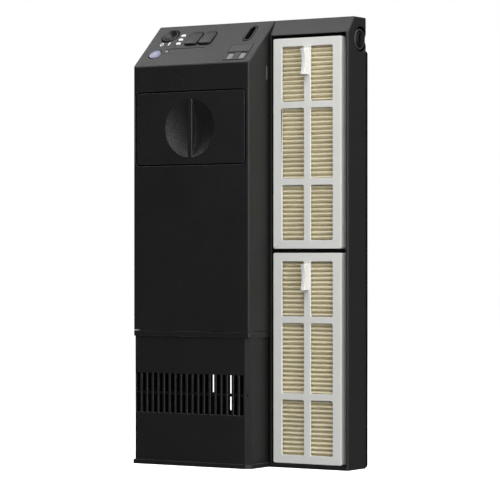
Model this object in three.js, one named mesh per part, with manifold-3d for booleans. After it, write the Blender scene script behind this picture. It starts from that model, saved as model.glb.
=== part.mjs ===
// A slim box filter in two towers: a pump tower with a sloping control deck, a pull-out
// media drawer and a slotted intake base, and beside it a shallower housing that holds
// two pleated cartridges, one above the other, with a swivelling outlet in its side.
// Millimetres. +Z is up, the front faces -Y, the origin is the middle of the base.

import * as THREE from 'three';
import { mergeVertices } from 'three/addons/utils/BufferGeometryUtils.js';
import Module from 'manifold-3d';

const wasm = await Module();
wasm.setup();

// ---------------------------------------------------------------- driving sizes

// whole object
const height = 300;
const towerWidth = 94;
const blockWidth = 61.5;
const towerDepth = 51;
const plenumDepth = 13.6;        // behind the cartridges, in front of the back cover
const ridgeToBack = 18.5;        // flat strip on top, from the ridge to the back
const towerDeckDrop = 29.5;      // fall of the control deck from ridge to front
const blockDeckDrop = 10.7;      // fall of the housing's sloping top
const frontRadius = 1.6;         // upright front edges
const backRadius = 3;            // upright back edges
const wall = 2.2;                // tower walls
const blockWall = 2;             // housing walls
const touchGap = 0.3;            // between pieces that meet
const slideGap = 0.5;            // around pieces that slide or turn

// intake base
const seamHeight = 91.2;         // top of the base, where the tower starts
const baseFlange = 3.7;          // full-size strip at the top of the base
const baseFoot = 3;              // full-size strip at the floor
const baseInset = 1;             // the walls between the strips stand back by this
const baseChamfer = 3.3;         // upright corners on the housing's side
const baseCorner = 0.4;          // upright corners on the open side
const slotLow = 35.4;
const slotHeight = 26.7;
const slotPitch = 4.635;
const slotWidth = 2.9;
const slotMarginLeft = 1.2;      // from the tower's left side to the first slot's share
const slotMarginRight = 4.5;
const slotBar = 2;               // bar across the slots at half height
const backSlotPitch = 14.37;
const backSlotWidth = 3.4;
const backSlotShift = 1;         // the row of slots in the back, off the middle
const legWidth = 6;              // legs on the base's floor, below the foam grid
const foamHeight = 20;

// media drawer
const doorBelowDeck = 18.5;
const doorHeight = 48.6;
const doorLeft = 2.8;
const doorRight = 4;
const doorThick = 3;
const doorRadius = 2.4;
const dishMargin = 4.5;          // from the dish to the top and bottom of the door
const dishDepth = 5;
const dishRib = 3.4;
const trayWall = 1.6;
const trayToRiser = 4.4;

// cartridges
const cartridgeWidth = 52.8;
const cartridgeDepth = 7.2;
const cartridgeLeftGap = 1;      // from the housing's left wall
const cartridgeSplit = 2.8;      // between the two cartridges
const cartridgeLip = 3.1;        // under the lower one
const cartridgeTopGap = 2.5;     // over the upper one
const frameSide = 6.8;
const frameEnd = 5.7;
const frameBar = 4.5;
const frameSpine = 5.2;
const frameFace = 1.6;
const endRowShare = 0.784;       // height of the end windows against the middle one
const finHeight = 17.6;
const finThick = 3;
const finReach = 6.5;
const finDrop = 1.6;             // fin top below the top of the upper windows
const pleatPitch = 3.05;
const pleatPaper = 0.7;
const sealThick = 0.8;

// control deck, measured from the tower's left side and along the slope
const deckBoardDepth = 9;
const dialRadius = 6.2;
const dialAcross = 14.3;
const dialFromRidge = 10.9;
const dialWellDepth = 7;
const keyWidth = 10.2;
const keyLength = 13.4;
const keyRise = 1.8;
const keyTravel = 1.4;
const keyAcross = 36;
const keyPitch = 11.1;
const keyFromRidge = 15.6;
const lensRadius = 4.3;
const lensAcross = 11.4;
const lensUp = 13;
const levelAcross = 25.2;
const levelPitch = 4.4;
const panelWidth = 17.2;
const panelLength = 16;
const panelFromRight = 5.6;
const cableSlotWidth = 4.4;
const cableSlotLength = 13.6;
const cableSlotFromRight = 14;
const cableSlotFromRidge = 12.7;

// outlet and pump
const outletBelowTop = 14.7;
const outletRadius = 8.4;
const outletDepth = 12;
const riserFromWall = 10;
const motorToRiser = 4;
const ductWall = 1.5;
const ductMargin = 1.2;          // between the duct and the plenum's walls
const impellerRadius = 12.5;
const impellerHeight = 9;
const motorWidth = 46;
const motorDepth = 34;
const motorHeight = 58;
const rotorRadius = 8;
const rotorHeight = 36;
const shaftRadius = 1.5;

// back cover
const coverPlate = 1.2;          // stands proud of the casings
const coverPlug = 1.8;           // sits inside their back openings
const coverBelowTop = 22;
const screwHead = 2.8;
const screwShank = 1.3;
const screwLength = 9;

// ---------------------------------------------------------------- worked-out planes

const left = -(towerWidth + blockWidth) / 2;
const right = -left;
const towerRight = left + towerWidth;
const blockLeft = towerRight + touchGap;
const front = -towerDepth / 2;
const back = towerDepth / 2;
const caseBack = back - coverPlate;
const seatThick = 1.6;
const coverFront = caseBack - coverPlug;
const seatBack = coverFront - plenumDepth;
const seatFront = seatBack - seatThick;
const blockFront = seatFront - touchGap - sealThick - cartridgeDepth;
const ridge = back - ridgeToBack;
const deckLow = height - towerDeckDrop;
const deckRun = ridge - front;
const deckAngle = Math.atan2(towerDeckDrop, deckRun);
const deckLength = Math.hypot(towerDeckDrop, deckRun);
const ductY = (seatBack + coverFront) / 2;
const ductRadius = plenumDepth / 2 - ductMargin;
const riserX = towerRight - wall - riserFromWall - ductRadius;
const dishRadius = doorHeight / 2 - dishMargin;
const outletZ = height - outletBelowTop;
const ringBack = right - outletDepth;
const coverTop = height - coverBelowTop;

// ---------------------------------------------------------------- solids

// A closed three.js geometry as a solid that can be joined and cut.
function solid(geometry) {
  const bare = geometry.index ? geometry.toNonIndexed() : geometry.clone();
  bare.deleteAttribute('normal');
  bare.deleteAttribute('uv');
  const merged = mergeVertices(bare, 1e-4);
  return new wasm.Manifold(new wasm.Mesh({
    numProp: 3,
    vertProperties: Float32Array.from(merged.attributes.position.array),
    triVerts: Uint32Array.from(merged.index.array),
  }));
}

function joined(shapes) {
  return shapes.reduce((sum, shape) => sum.add(shape));
}

function cut(shape, cutters) {
  return cutters.reduce((rest, cutter) => rest.subtract(cutter), shape);
}

function boxGeometry(x0, x1, y0, y1, z0, z1) {
  const box = new THREE.BoxGeometry(x1 - x0, y1 - y0, z1 - z0);
  return box.translate((x0 + x1) / 2, (y0 + y1) / 2, (z0 + z1) / 2);
}

function box(x0, x1, y0, y1, z0, z1) {
  return solid(boxGeometry(x0, x1, y0, y1, z0, z1));
}

function outline(points) {
  return new THREE.Shape(points.map(([a, b]) => new THREE.Vector2(a, b)));
}

function extruded(shape, depth) {
  return new THREE.ExtrudeGeometry(shape, { depth, bevelEnabled: false, curveSegments: 4 });
}

// Prisms along each axis. Outlines are (y, z) along X, (x, z) along Y and (x, y) along Z.
function prismX(shape, x0, x1) {
  const turn = new THREE.Matrix4().set(0, 0, 1, x0, 1, 0, 0, 0, 0, 1, 0, 0, 0, 0, 0, 1);
  return solid(extruded(shape, x1 - x0).applyMatrix4(turn));
}

function prismY(shape, y0, y1) {
  const turn = new THREE.Matrix4().set(1, 0, 0, 0, 0, 0, -1, y1, 0, 1, 0, 0, 0, 0, 0, 1);
  return solid(extruded(shape, y1 - y0).applyMatrix4(turn));
}

function prismZ(shape, z0, z1) {
  return solid(extruded(shape, z1 - z0).translate(0, 0, z0));
}

// A rectangle whose corners have their own radii, from the low corner anticlockwise.
function roundedRect(x0, x1, y0, y1, radii) {
  const [a, b, c, d] = Array.isArray(radii) ? radii : [radii, radii, radii, radii];
  const shape = new THREE.Shape();
  shape.moveTo(x0 + a, y0).lineTo(x1 - b, y0);
  if (b) shape.absarc(x1 - b, y0 + b, b, -Math.PI / 2, 0);
  shape.lineTo(x1, y1 - c);
  if (c) shape.absarc(x1 - c, y1 - c, c, 0, Math.PI / 2);
  shape.lineTo(x0 + d, y1);
  if (d) shape.absarc(x0 + d, y1 - d, d, Math.PI / 2, Math.PI);
  shape.lineTo(x0, y0 + a);
  if (a) shape.absarc(x0 + a, y0 + a, a, Math.PI, Math.PI * 1.5);
  return shape;
}

// The base's plan, with its larger chamfers on the right, set in on all sides.
function basePlan(x0, x1, y0, y1, inset = 0) {
  const c = baseChamfer - inset / 2;
  const e = baseCorner;
  return outline([[x0 + e, y0], [x1 - c, y0], [x1, y0 + c], [x1, y1 - c],
    [x1 - c, y1], [x0 + e, y1], [x0, y1 - e], [x0, y0 + e]]);
}

// An upright cylinder, or one turned to lie along X or Y, between two stations.
function rodGeometry(axis, radius, from, to, a, b, sides = 28) {
  const rod = new THREE.CylinderGeometry(radius, radius, to - from, sides);
  const middle = (from + to) / 2;
  if (axis === 'x') return rod.rotateZ(-Math.PI / 2).translate(middle, a, b);
  if (axis === 'y') return rod.translate(a, middle, b);
  return rod.rotateX(Math.PI / 2).translate(a, b, middle);
}

function rod(axis, radius, from, to, a, b, sides) {
  return solid(rodGeometry(axis, radius, from, to, a, b, sides));
}

function ring(axis, outer, inner, from, to, a, b, sides) {
  return rod(axis, outer, from, to, a, b, sides).subtract(rod(axis, inner, from - 1, to + 1, a, b, sides));
}

// A lathe about Z from (radius, z) points that close on the axis or on themselves.
function turned(points, sides = 36) {
  return solid(new THREE.LatheGeometry(points.map(([r, z]) => new THREE.Vector2(r, z)), sides)
    .rotateX(Math.PI / 2));
}

// A round pipe through a list of points, with a bend of the given radius at each corner.
function pipe(points, outer, inner, bendRadius) {
  const run = (radius, from, to) => {
    const along = new THREE.Vector3().subVectors(to, from);
    const turn = new THREE.Quaternion().setFromUnitVectors(new THREE.Vector3(0, 1, 0), along.clone().normalize());
    const middle = new THREE.Vector3().addVectors(from, to).multiplyScalar(0.5);
    return solid(new THREE.CylinderGeometry(radius, radius, along.length(), 16)
      .applyMatrix4(new THREE.Matrix4().compose(middle, turn, new THREE.Vector3(1, 1, 1))));
  };
  const elbow = (radius, from, corner, to) => solid(new THREE.ExtrudeGeometry(
    new THREE.Shape().absarc(0, 0, radius, 0, Math.PI * 2),
    { steps: 6, extrudePath: new THREE.QuadraticBezierCurve3(from, corner, to), curveSegments: 8 }));
  const towards = (from, to, distance) => from.clone().add(
    new THREE.Vector3().subVectors(to, from).normalize().multiplyScalar(distance));
  const body = (radius, spare) => {
    const parts = [];
    let from = towards(points[0], points[1], -spare);
    for (let i = 1; i < points.length - 1; i += 1) {
      const start = towards(points[i], points[i - 1], bendRadius);
      const end = towards(points[i], points[i + 1], bendRadius);
      parts.push(run(radius, from, towards(start, points[i], 0.2)), elbow(radius, start, points[i], end));
      from = towards(end, points[i], 0.2);
    }
    parts.push(run(radius, from, towards(points.at(-1), points.at(-2), -spare)));
    return joined(parts);
  };
  return body(outer, 0).subtract(body(inner, 1));
}

// ---------------------------------------------------------------- finishes and scene

function finish(color, roughness, metalness = 0) {
  return new THREE.MeshStandardMaterial({ color, roughness, metalness });
}

const finishes = {
  casing: finish(0x1c1c1d, 0.55),
  deck: finish(0x2a2a2b, 0.6),
  white: finish(0xe6e6e2, 0.45),
  paper: finish(0xcabf9c, 0.9),
  rubber: finish(0x141414, 0.85),
  foam: finish(0x20304a, 0.95),
  media: finish(0xd8d2c4, 0.9),
  inner: finish(0x2c2f33, 0.5),
  resin: finish(0x17181a, 0.35),
  magnet: finish(0x303236, 0.4, 0.6),
  ceramic: finish(0xece9e2, 0.25),
  steel: finish(0xb8bbbf, 0.3, 1),
  board: finish(0x11502f, 0.5),
  light: finish(0xf4f6f8, 0.2),
  lens: finish(0xa4a6c0, 0.2),
};

const model = new THREE.Group();

function place(parent, name, shape, finishName) {
  const { vertProperties, triVerts } = shape.getMesh();
  const geometry = new THREE.BufferGeometry();
  geometry.setAttribute('position', new THREE.BufferAttribute(vertProperties, 3));
  geometry.setIndex(new THREE.BufferAttribute(triVerts, 1));
  geometry.computeVertexNormals();
  const mesh = new THREE.Mesh(geometry, finishes[finishName]);
  mesh.name = name;
  parent.add(mesh);
  return mesh;
}

// The deck's own frame: X across from the tower's left side, Y up the slope, Z outwards.
const deck = new THREE.Group();
deck.position.set(left, front, deckLow);
deck.rotation.x = deckAngle;
deck.updateMatrix();
model.add(deck);

function deckBox(x0, x1, v0, v1, n0, n1) {
  return solid(boxGeometry(x0, x1, v0, v1, n0, n1).applyMatrix4(deck.matrix));
}

function deckRod(radius, n0, n1, x, v, sides) {
  return solid(rodGeometry('z', radius, n0, n1, x, v, sides).applyMatrix4(deck.matrix));
}

function deckPrism(shape, n0, n1) {
  return solid(extruded(shape, n1 - n0).translate(0, 0, n0).applyMatrix4(deck.matrix));
}

// ---------------------------------------------------------------- deck layout

const dialUp = deckLength - dialFromRidge;
const keyUp = deckLength - keyFromRidge;
const keyCentres = [keyAcross, keyAcross + keyPitch];
const levelCentres = [-1, 0, 1].map((i) => keyUp + i * levelPitch);
const panelRight = towerWidth - panelFromRight;
const panelUp = 2.8;
const cableSlotX = towerWidth - cableSlotFromRight;
const cableSlotUp = deckLength - cableSlotFromRidge;
const statusLight = { x: 19.7, v: 15.4, w: 1.9, l: 2.4 };
const levelLight = { w: 3.2, l: 1.8 };
const paneSize = { w: 4.8, l: 6.6 };
const paneUp = panelUp + 0.7;
const paneCentres = [panelRight - 3.4, panelRight - 13];
const panelRecess = 1;

function keyOutline(x, growth) {
  const halfWidth = keyWidth / 2 + growth;
  const halfLength = keyLength / 2 + growth;
  return roundedRect(x - halfWidth, x + halfWidth, keyUp - halfLength, keyUp + halfLength, 2.6 + growth);
}

function cableSlotOutline(growth) {
  const half = cableSlotWidth / 2 + growth;
  const reach = cableSlotLength / 2 + growth;
  return roundedRect(cableSlotX - half, cableSlotX + half, cableSlotUp - reach, cableSlotUp + reach, half);
}

// ---------------------------------------------------------------- tower casing

const door = {
  x0: left + doorLeft, x1: towerRight - doorRight,
  z1: deckLow - doorBelowDeck, z0: deckLow - doorBelowDeck - doorHeight,
};
const doorGap = 0.9;
const doorLedge = 2.4;
const crossover = { y0: seatBack + 1, y1: coverFront - 3, z0: seamHeight + 30, z1: seamHeight + 90 };
const screwPost = 7.5;
const postDepth = 14;

// The side outline of a casing, or the same outline set in by the thickness of its walls.
function sideProfile(y0, drop, inset, bottom) {
  const rise = drop / (ridge - y0);
  const shift = inset * Math.hypot(1, rise);
  return outline([
    [y0 + inset, bottom],
    [y0 + inset, height - drop + inset * rise - shift],
    [ridge + (shift - inset) / rise, height - inset],
    [caseBack - inset, height - inset],
    [caseBack - inset, bottom],
  ]);
}

// The opening that the back cover's plug fits into.
const plugMargin = 3;
function backOpening(x0, x1, z0) {
  return box(x0, x1, 0, back + 1, z0, coverTop - plugMargin + touchGap);
}

const towerScrews = [
  [left + wall + screwPost / 2, seamHeight + 9], [towerRight - wall - screwPost / 2, seamHeight + 9],
  [left + wall + screwPost / 2, coverTop - 8], [towerRight - wall - screwPost / 2, coverTop - 8],
];
const blockScrews = [
  [blockLeft + blockWall + screwPost / 2, 9], [right - blockWall - screwPost / 2, 9],
  [blockLeft + blockWall + screwPost / 2, coverTop - 8], [right - blockWall - screwPost / 2, coverTop - 8],
];

// A post behind a cover screw, tied to the side wall, with a hole for the screw.
function coverPost([x, z], depth) {
  const half = screwPost / 2 + 0.5;
  const y1 = coverFront - touchGap;
  const post = box(x - half, x + half, y1 - depth, y1, z - half, z + half);
  return post.subtract(rod('y', screwShank + 0.3, y1 - screwLength - 1, y1 + 1, x, z, 12));
}

function towerCasing() {
  const plan = roundedRect(left, towerRight, front, caseBack, [frontRadius, frontRadius, 0.4, backRadius]);
  const outer = prismX(sideProfile(front, towerDeckDrop, 0, seamHeight), left, towerRight)
    .intersect(prismZ(plan, seamHeight - 1, height + 1));
  const hollow = prismX(sideProfile(front, towerDeckDrop, wall, seamHeight - 1), left + wall, towerRight - wall);
  const collar = prismY(roundedRect(door.x0 - doorGap - 1.4, door.x1 + doorGap + 1.4,
    door.z0 - doorGap - 1.4, door.z1 + doorGap + 1.4, doorRadius + 2), front + 0.5, front + doorThick + 2.6);
  const dialWell = deckRod(dialRadius + slideGap + 1.4, -dialWellDepth, -0.5, dialAcross, dialUp);
  const panelBack = deckBox(panelRight - panelWidth - 1.4, panelRight + 1.4, panelUp - 1.4,
    panelUp + panelLength + 1.4, -panelRecess - 2, -0.5);
  const posts = towerScrews.map((at) => coverPost(at, postDepth));
  const insideShape = prismX(sideProfile(front, towerDeckDrop, 0.4, seamHeight), left + 0.4, towerRight - 0.4);
  const extras = joined([collar, dialWell, panelBack, ...posts]).intersect(insideShape);
  const doorway = prismY(roundedRect(door.x0 - doorGap, door.x1 + doorGap, door.z0 - doorGap,
    door.z1 + doorGap, doorRadius + doorGap), front - 1, front + doorThick + 1.1);
  const inner = prismY(roundedRect(door.x0 + doorLedge, door.x1 - doorLedge, door.z0 + doorLedge,
    door.z1 - doorLedge, doorRadius), front - 1, front + doorThick + 4);
  const cutters = [
    doorway, inner,
    deckRod(dialRadius + slideGap, 1 - dialWellDepth, 1, dialAcross, dialUp, 36),
    deckRod(2.4, -dialWellDepth - 1, -4, dialAcross, dialUp, 16),
    deckRod(lensRadius + touchGap, -4, 1, lensAcross, lensUp),
    deckBox(statusLight.x - statusLight.w / 2 - touchGap, statusLight.x + statusLight.w / 2 + touchGap,
      statusLight.v - statusLight.l / 2 - touchGap, statusLight.v + statusLight.l / 2 + touchGap, -4, 1),
    deckPrism(cableSlotOutline(1 + touchGap), -5, 1),
    deckBox(panelRight - panelWidth - touchGap, panelRight + touchGap, panelUp - touchGap,
      panelUp + panelLength + touchGap, -panelRecess - touchGap, 1),
    ...paneCentres.map((x) => deckBox(x - paneSize.w / 2 + 0.6, x + paneSize.w / 2 - 0.6,
      paneUp + 0.6, paneUp + paneSize.l - 0.6, -6, 0)),
    ...keyCentres.map((x) => deckPrism(keyOutline(x, slideGap), -5, 1)),
    ...levelCentres.map((v) => deckBox(levelAcross - levelLight.w / 2 - touchGap,
      levelAcross + levelLight.w / 2 + touchGap, v - levelLight.l / 2 - touchGap,
      v + levelLight.l / 2 + touchGap, -4, 1)),
    box(towerRight - wall - 1, towerRight + 1, crossover.y0, crossover.y1, crossover.z0, crossover.z1),
    rod('x', ductRadius + touchGap, towerRight - wall - 1, towerRight + 1, ductY, outletZ),
    box(towerRight - 1.1, towerRight + 1, front + 20.8, front + 22.7, deckLow - 11, deckLow + 1),
  ];
  const shell = cut(outer, [hollow, backOpening(left + wall, towerRight - wall, seamHeight + plugMargin)]);
  return cut(shell.add(extras), cutters);
}

place(model, 'tower_casing', towerCasing(), 'casing');

// ---------------------------------------------------------------- intake base

const slotCount = Math.floor((towerWidth - slotMarginLeft - slotMarginRight) / slotPitch);
const slotCentres = Array.from({ length: slotCount }, (_, i) => left + slotMarginLeft + (i + 0.5) * slotPitch);
const backSlotCount = Math.floor((towerWidth / 2 - backSlotShift - baseChamfer - backSlotWidth) / backSlotPitch);
const backSlotCentres = Array.from({ length: 2 * backSlotCount + 1 }, (_, i) => left + towerWidth / 2
  + backSlotShift + (i - backSlotCount) * backSlotPitch);
const baseTop = seamHeight - touchGap;
const foamLow = baseTop - 3 - foamHeight;
const gridThick = 2;
const baseWall = 2;
const baseLegs = [
  { x: left + towerWidth / 3, top: foamLow - gridThick - touchGap },
  { x: left + towerWidth * 0.515, top: slotLow + slotHeight / 2 },
];

function baseInner() {
  return { x0: left + baseInset + baseWall, x1: towerRight - baseInset - baseWall,
    y0: front + baseInset + baseWall, y1: caseBack - baseInset - baseWall };
}

function intakeBase() {
  const x = [left + baseInset, towerRight - baseInset];
  const y = [front + baseInset, caseBack - baseInset];
  const walls = prismZ(basePlan(...x, ...y), 0, baseTop);
  const flange = prismZ(roundedRect(left, towerRight, front, caseBack,
    [frontRadius, frontRadius, 0.4, backRadius]), baseTop - baseFlange, baseTop);
  const foot = prismZ(basePlan(left, towerRight, front, caseBack), 0, baseFoot);
  const room = baseInner();
  const hollow = prismZ(basePlan(room.x0, room.x1, room.y0, room.y1, baseWall), baseWall, baseTop + 1);
  const ledgeTop = foamLow - gridThick - touchGap;
  const ledge = prismZ(basePlan(room.x0 - 0.3, room.x1 + 0.3, room.y0 - 0.3, room.y1 + 0.3), ledgeTop - 2, ledgeTop)
    .subtract(box(room.x0 + 3, room.x1 - 3, room.y0 + 3, room.y1 - 3, 0, baseTop));
  const legs = baseLegs.map(({ x, top }) => box(x - legWidth / 2, x + legWidth / 2, -legWidth / 2, legWidth / 2,
    baseWall - 0.5, top));
  const shell = joined([walls, flange, foot]).subtract(hollow).add(joined([ledge, ...legs]));
  const slotTop = slotLow + slotHeight;
  const slots = (centres, width, y0, y1) => centres.map((c) => box(c - width / 2, c + width / 2, y0, y1,
    slotLow, slotTop));
  const frontSlots = slots(slotCentres, slotWidth, front - 1, room.y0 + 1);
  const backSlots = slots(backSlotCentres, backSlotWidth, room.y1 - 1, back + 1);
  const bar = box(room.x0 - 0.5, room.x1 + 0.5, room.y0 - 0.8, room.y0 + 0.6,
    slotLow + slotHeight / 2 - slotBar / 2, slotLow + slotHeight / 2 + slotBar / 2);
  return cut(shell, [...frontSlots, ...backSlots]).add(bar);
}

place(model, 'intake_base', intakeBase(), 'casing');

function slottedPlate(x0, x1, y0, y1, z0, z1, bars) {
  const pitch = (x1 - x0 - 4) / bars;
  const holes = Array.from({ length: bars }, (_, i) => x0 + 2 + (i + 0.5) * pitch)
    .map((c) => box(c - pitch / 2 + 1, c + pitch / 2 - 1, y0 + 3, y1 - 3, z0 - 1, z1 + 1));
  return cut(box(x0, x1, y0, y1, z0, z1), holes);
}

const room = baseInner();
place(model, 'foam_grid', slottedPlate(room.x0 + slideGap, room.x1 - slideGap, room.y0 + slideGap,
  room.y1 - slideGap, foamLow - gridThick, foamLow - touchGap, 8).intersect(prismZ(basePlan(
  room.x0 + slideGap, room.x1 - slideGap, room.y0 + slideGap, room.y1 - slideGap), 0, baseTop)), 'inner');
place(model, 'prefilter_foam', prismZ(basePlan(room.x0 + 0.6, room.x1 - 0.6, room.y0 + 0.6,
  room.y1 - 0.6), foamLow, foamLow + foamHeight), 'foam');

// ---------------------------------------------------------------- cartridge housing

const opening = { x0: blockLeft + blockWall, x1: right - blockWall, z0: 2.5, z1: height - blockDeckDrop - 0.3 };
const cartridgeHeight = (opening.z1 + 0.3 - cartridgeTopGap - cartridgeSplit - cartridgeLip) / 2;
const cartridgeX = opening.x0 + cartridgeLeftGap + cartridgeWidth / 2;
const cartridgeBottoms = { lower: cartridgeLip, upper: cartridgeLip + cartridgeHeight + cartridgeSplit };

function cartridgeHousing() {
  const plan = roundedRect(blockLeft, right, blockFront, caseBack, [0.6, frontRadius, backRadius, 0.4]);
  const profile = sideProfile(blockFront, blockDeckDrop, 0, 0);
  const outer = prismX(profile, blockLeft, right).intersect(prismZ(plan, -1, height + 1));
  const hollow = prismX(sideProfile(blockFront, blockDeckDrop, blockWall, opening.z0), opening.x0, opening.x1);
  const mouth = box(opening.x0, opening.x1, blockFront - 1, seatFront, opening.z0, opening.z1);
  const seat = box(opening.x0 - 0.5, opening.x1 + 0.5, seatFront, seatBack, opening.z0 - 0.5, height - 0.5);
  const windows = Object.values(cartridgeBottoms).map((z) => box(cartridgeX - cartridgeWidth / 2 + 6,
    cartridgeX + cartridgeWidth / 2 - 6, seatFront - 1, seatBack + 1, z + 6, z + cartridgeHeight - 6));
  const posts = joined(blockScrews.map((at) => coverPost(at, coverFront - touchGap - seatBack + 0.5)))
    .intersect(box(blockLeft + 0.4, right - 0.4, blockFront, back, 0.4, height));
  const ties = Object.values(cartridgeBottoms).flatMap((z) => [1, 2].map((i) => box(opening.x0, opening.x1,
    seatFront, seatBack, z + cartridgeHeight * i / 3 - 1, z + cartridgeHeight * i / 3 + 1)));
  const cutters = [
    box(blockLeft - 1, opening.x0 + 1, crossover.y0, crossover.y1, crossover.z0, crossover.z1),
    rod('x', ductRadius + touchGap, blockLeft - 1, opening.x0 + 1, ductY, outletZ),
    rod('x', outletRadius, ringBack - touchGap, right + 1, ductY, outletZ, 40),
  ];
  const shell = cut(outer, [hollow, mouth, backOpening(opening.x0, opening.x1, opening.z0)]);
  const body = shell.add(cut(seat, windows));
  return cut(joined([body, ...ties, posts]), cutters);
}

place(model, 'cartridge_housing', cartridgeHousing(), 'casing');

// ---------------------------------------------------------------- cartridges

const windowRoom = cartridgeHeight - 2 * frameEnd - 2 * frameBar;
const middleRow = windowRoom / (1 + 2 * endRowShare);
const endRow = middleRow * endRowShare;
const rowStarts = [frameEnd, frameEnd + endRow + frameBar, frameEnd + endRow + frameBar + middleRow + frameBar];
const rowHeights = [endRow, middleRow, endRow];

// A cartridge is drawn with its front at y = 0 and its bottom at z = 0, on its own middle.
function cartridgeFrame() {
  const half = cartridgeWidth / 2;
  const shell = prismY(roundedRect(-half, half, 0, cartridgeHeight, 1.2), 0, cartridgeDepth)
    .subtract(box(-half + 1.8, half - 1.8, frameFace, cartridgeDepth + 1, 1.8, cartridgeHeight - 1.8));
  const columns = [[-half + frameSide, -frameSpine / 2], [frameSpine / 2, half - frameSide]];
  const windows = columns.flatMap(([x0, x1]) => rowStarts.map((z, i) => prismY(
    roundedRect(x0, x1, z, z + rowHeights[i], 1), -1, frameFace + 1)));
  const finTop = cartridgeHeight - frameEnd - finDrop;
  const fin = new THREE.Shape();
  fin.moveTo(0.6, finTop - finHeight).lineTo(-finReach, finTop - finHeight);
  fin.quadraticCurveTo(-finReach + 1.7, finTop - finHeight / 2, -finReach, finTop);
  fin.lineTo(0.6, finTop);
  return cut(shell, windows).add(prismX(fin, -finThick / 2, finThick / 2));
}

// Folded paper: a zigzag band across the frame, folds lying level.
function pleatPack() {
  const margin = 2.2;
  const count = Math.floor((cartridgeHeight - 2 * margin) / pleatPitch);
  const start = (cartridgeHeight - count * pleatPitch) / 2;
  const nearY = frameFace + touchGap;
  const farY = cartridgeDepth - 0.4;
  const edge = Array.from({ length: 2 * count + 1 }, (_, i) => [
    i % 2 ? nearY : farY - pleatPaper, start + i * pleatPitch / 2]);
  const rear = edge.map(([y, z]) => [y + pleatPaper, z]).reverse();
  const half = cartridgeWidth / 2 - margin;
  return prismX(outline([...edge, ...rear]), -half, half);
}

function cartridgeSeal() {
  const half = cartridgeWidth / 2 - 0.8;
  const y0 = cartridgeDepth + touchGap / 2;
  return prismY(roundedRect(-half, half, 0.8, cartridgeHeight - 0.8, 1.2), y0, y0 + sealThick)
    .subtract(box(-half + 3.4, half - 3.4, 0, cartridgeDepth + 3, 4.2, cartridgeHeight - 4.2));
}

for (const [name, bottom] of Object.entries(cartridgeBottoms)) {
  const cartridge = new THREE.Group();
  cartridge.position.set(cartridgeX, blockFront, bottom);
  model.add(cartridge);
  place(cartridge, `${name}_cartridge_frame`, cartridgeFrame(), 'white');
  place(cartridge, `${name}_pleat_pack`, pleatPack(), 'paper');
  place(cartridge, `${name}_cartridge_seal`, cartridgeSeal(), 'rubber');
}

// ---------------------------------------------------------------- media drawer

const dishX = (door.x0 + door.x1) / 2;
const dishZ = (door.z0 + door.z1) / 2;
const dishSphere = (dishRadius ** 2 + dishDepth ** 2) / (2 * dishDepth);
const dishShell = 1.8;

function drawerFront() {
  const panel = prismY(roundedRect(door.x0, door.x1, door.z0, door.z1, doorRadius), front, front + doorThick);
  const centreY = front + dishDepth - dishSphere;
  const bowl = (radius) => solid(new THREE.SphereGeometry(radius, 56, 40).translate(dishX, centreY, dishZ));
  const behind = rod('y', dishRadius + dishShell, front + 0.5, front + dishDepth + 4, dishX, dishZ, 48);
  const backing = bowl(dishSphere + dishShell).intersect(behind);
  const dished = panel.add(backing).subtract(bowl(dishSphere));
  const rib = box(dishX - dishRib / 2, dishX + dishRib / 2, front, front + dishDepth + 0.6,
    dishZ - dishRadius - 0.4, dishZ + dishRadius + 0.4).intersect(bowl(dishSphere + 0.8));
  const stems = [-1, 1].map((side) => rod('y', 2.2, front + doorThick - 0.5, trayFront - touchGap,
    dishX + side * (dishRadius + 6) - (side > 0 ? 8 : 0), dishZ, 16));
  return joined([dished, rib, ...stems]);
}

const trayFront = front + dishDepth + dishShell + 1;
const trayBack = caseBack - 8;
const tray = {
  x0: left + wall + 4, x1: riserX - ductRadius - trayToRiser,
  z0: door.z0 + doorLedge + 2, z1: door.z1 - doorLedge - 1,
};

function drawerTray() {
  const outer = box(tray.x0, tray.x1, trayFront, trayBack, tray.z0, tray.z1);
  const hollow = box(tray.x0 + trayWall, tray.x1 - trayWall, trayFront + trayWall, trayBack - trayWall,
    tray.z0 + trayWall, tray.z1 + 1);
  const count = 9;
  const pitch = (tray.x1 - tray.x0 - 2 * trayWall - 2) / count;
  const holes = Array.from({ length: count }, (_, i) => tray.x0 + trayWall + 1 + (i + 0.5) * pitch)
    .map((c) => box(c - pitch / 2 + 0.9, c + pitch / 2 - 0.9, trayFront + 4, trayBack - 4, tray.z0 - 1, tray.z0 + 3));
  return cut(outer.subtract(hollow), holes);
}

function drawerSeal() {
  const y0 = front + doorThick + touchGap / 2;
  return prismY(roundedRect(door.x0 + 0.4, door.x1 - 0.4, door.z0 + 0.4, door.z1 - 0.4, doorRadius), y0, y0 + 0.7)
    .subtract(box(door.x0 + doorLedge - 0.2, door.x1 - doorLedge + 0.2, front, front + 9,
      door.z0 + doorLedge - 0.2, door.z1 - doorLedge + 0.2));
}

function drawerCradle() {
  const t = 1.6;
  const y0 = trayFront + 3;
  const y1 = coverFront - 1;
  const outer = box(tray.x0 - slideGap - t, tray.x1 + slideGap + t, y0, y1, tray.z0 - slideGap - t, tray.z1 - 8);
  const hollow = box(tray.x0 - slideGap, tray.x1 + slideGap, y0 - 1, y1 - t, tray.z0 - slideGap, tray.z1);
  const mouthHole = box(tray.x0 + 5, tray.x1 - 5, y0 + 4, y1 - 6, tray.z0 - 9, tray.z0);
  return outer.subtract(hollow).subtract(mouthHole);
}

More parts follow.
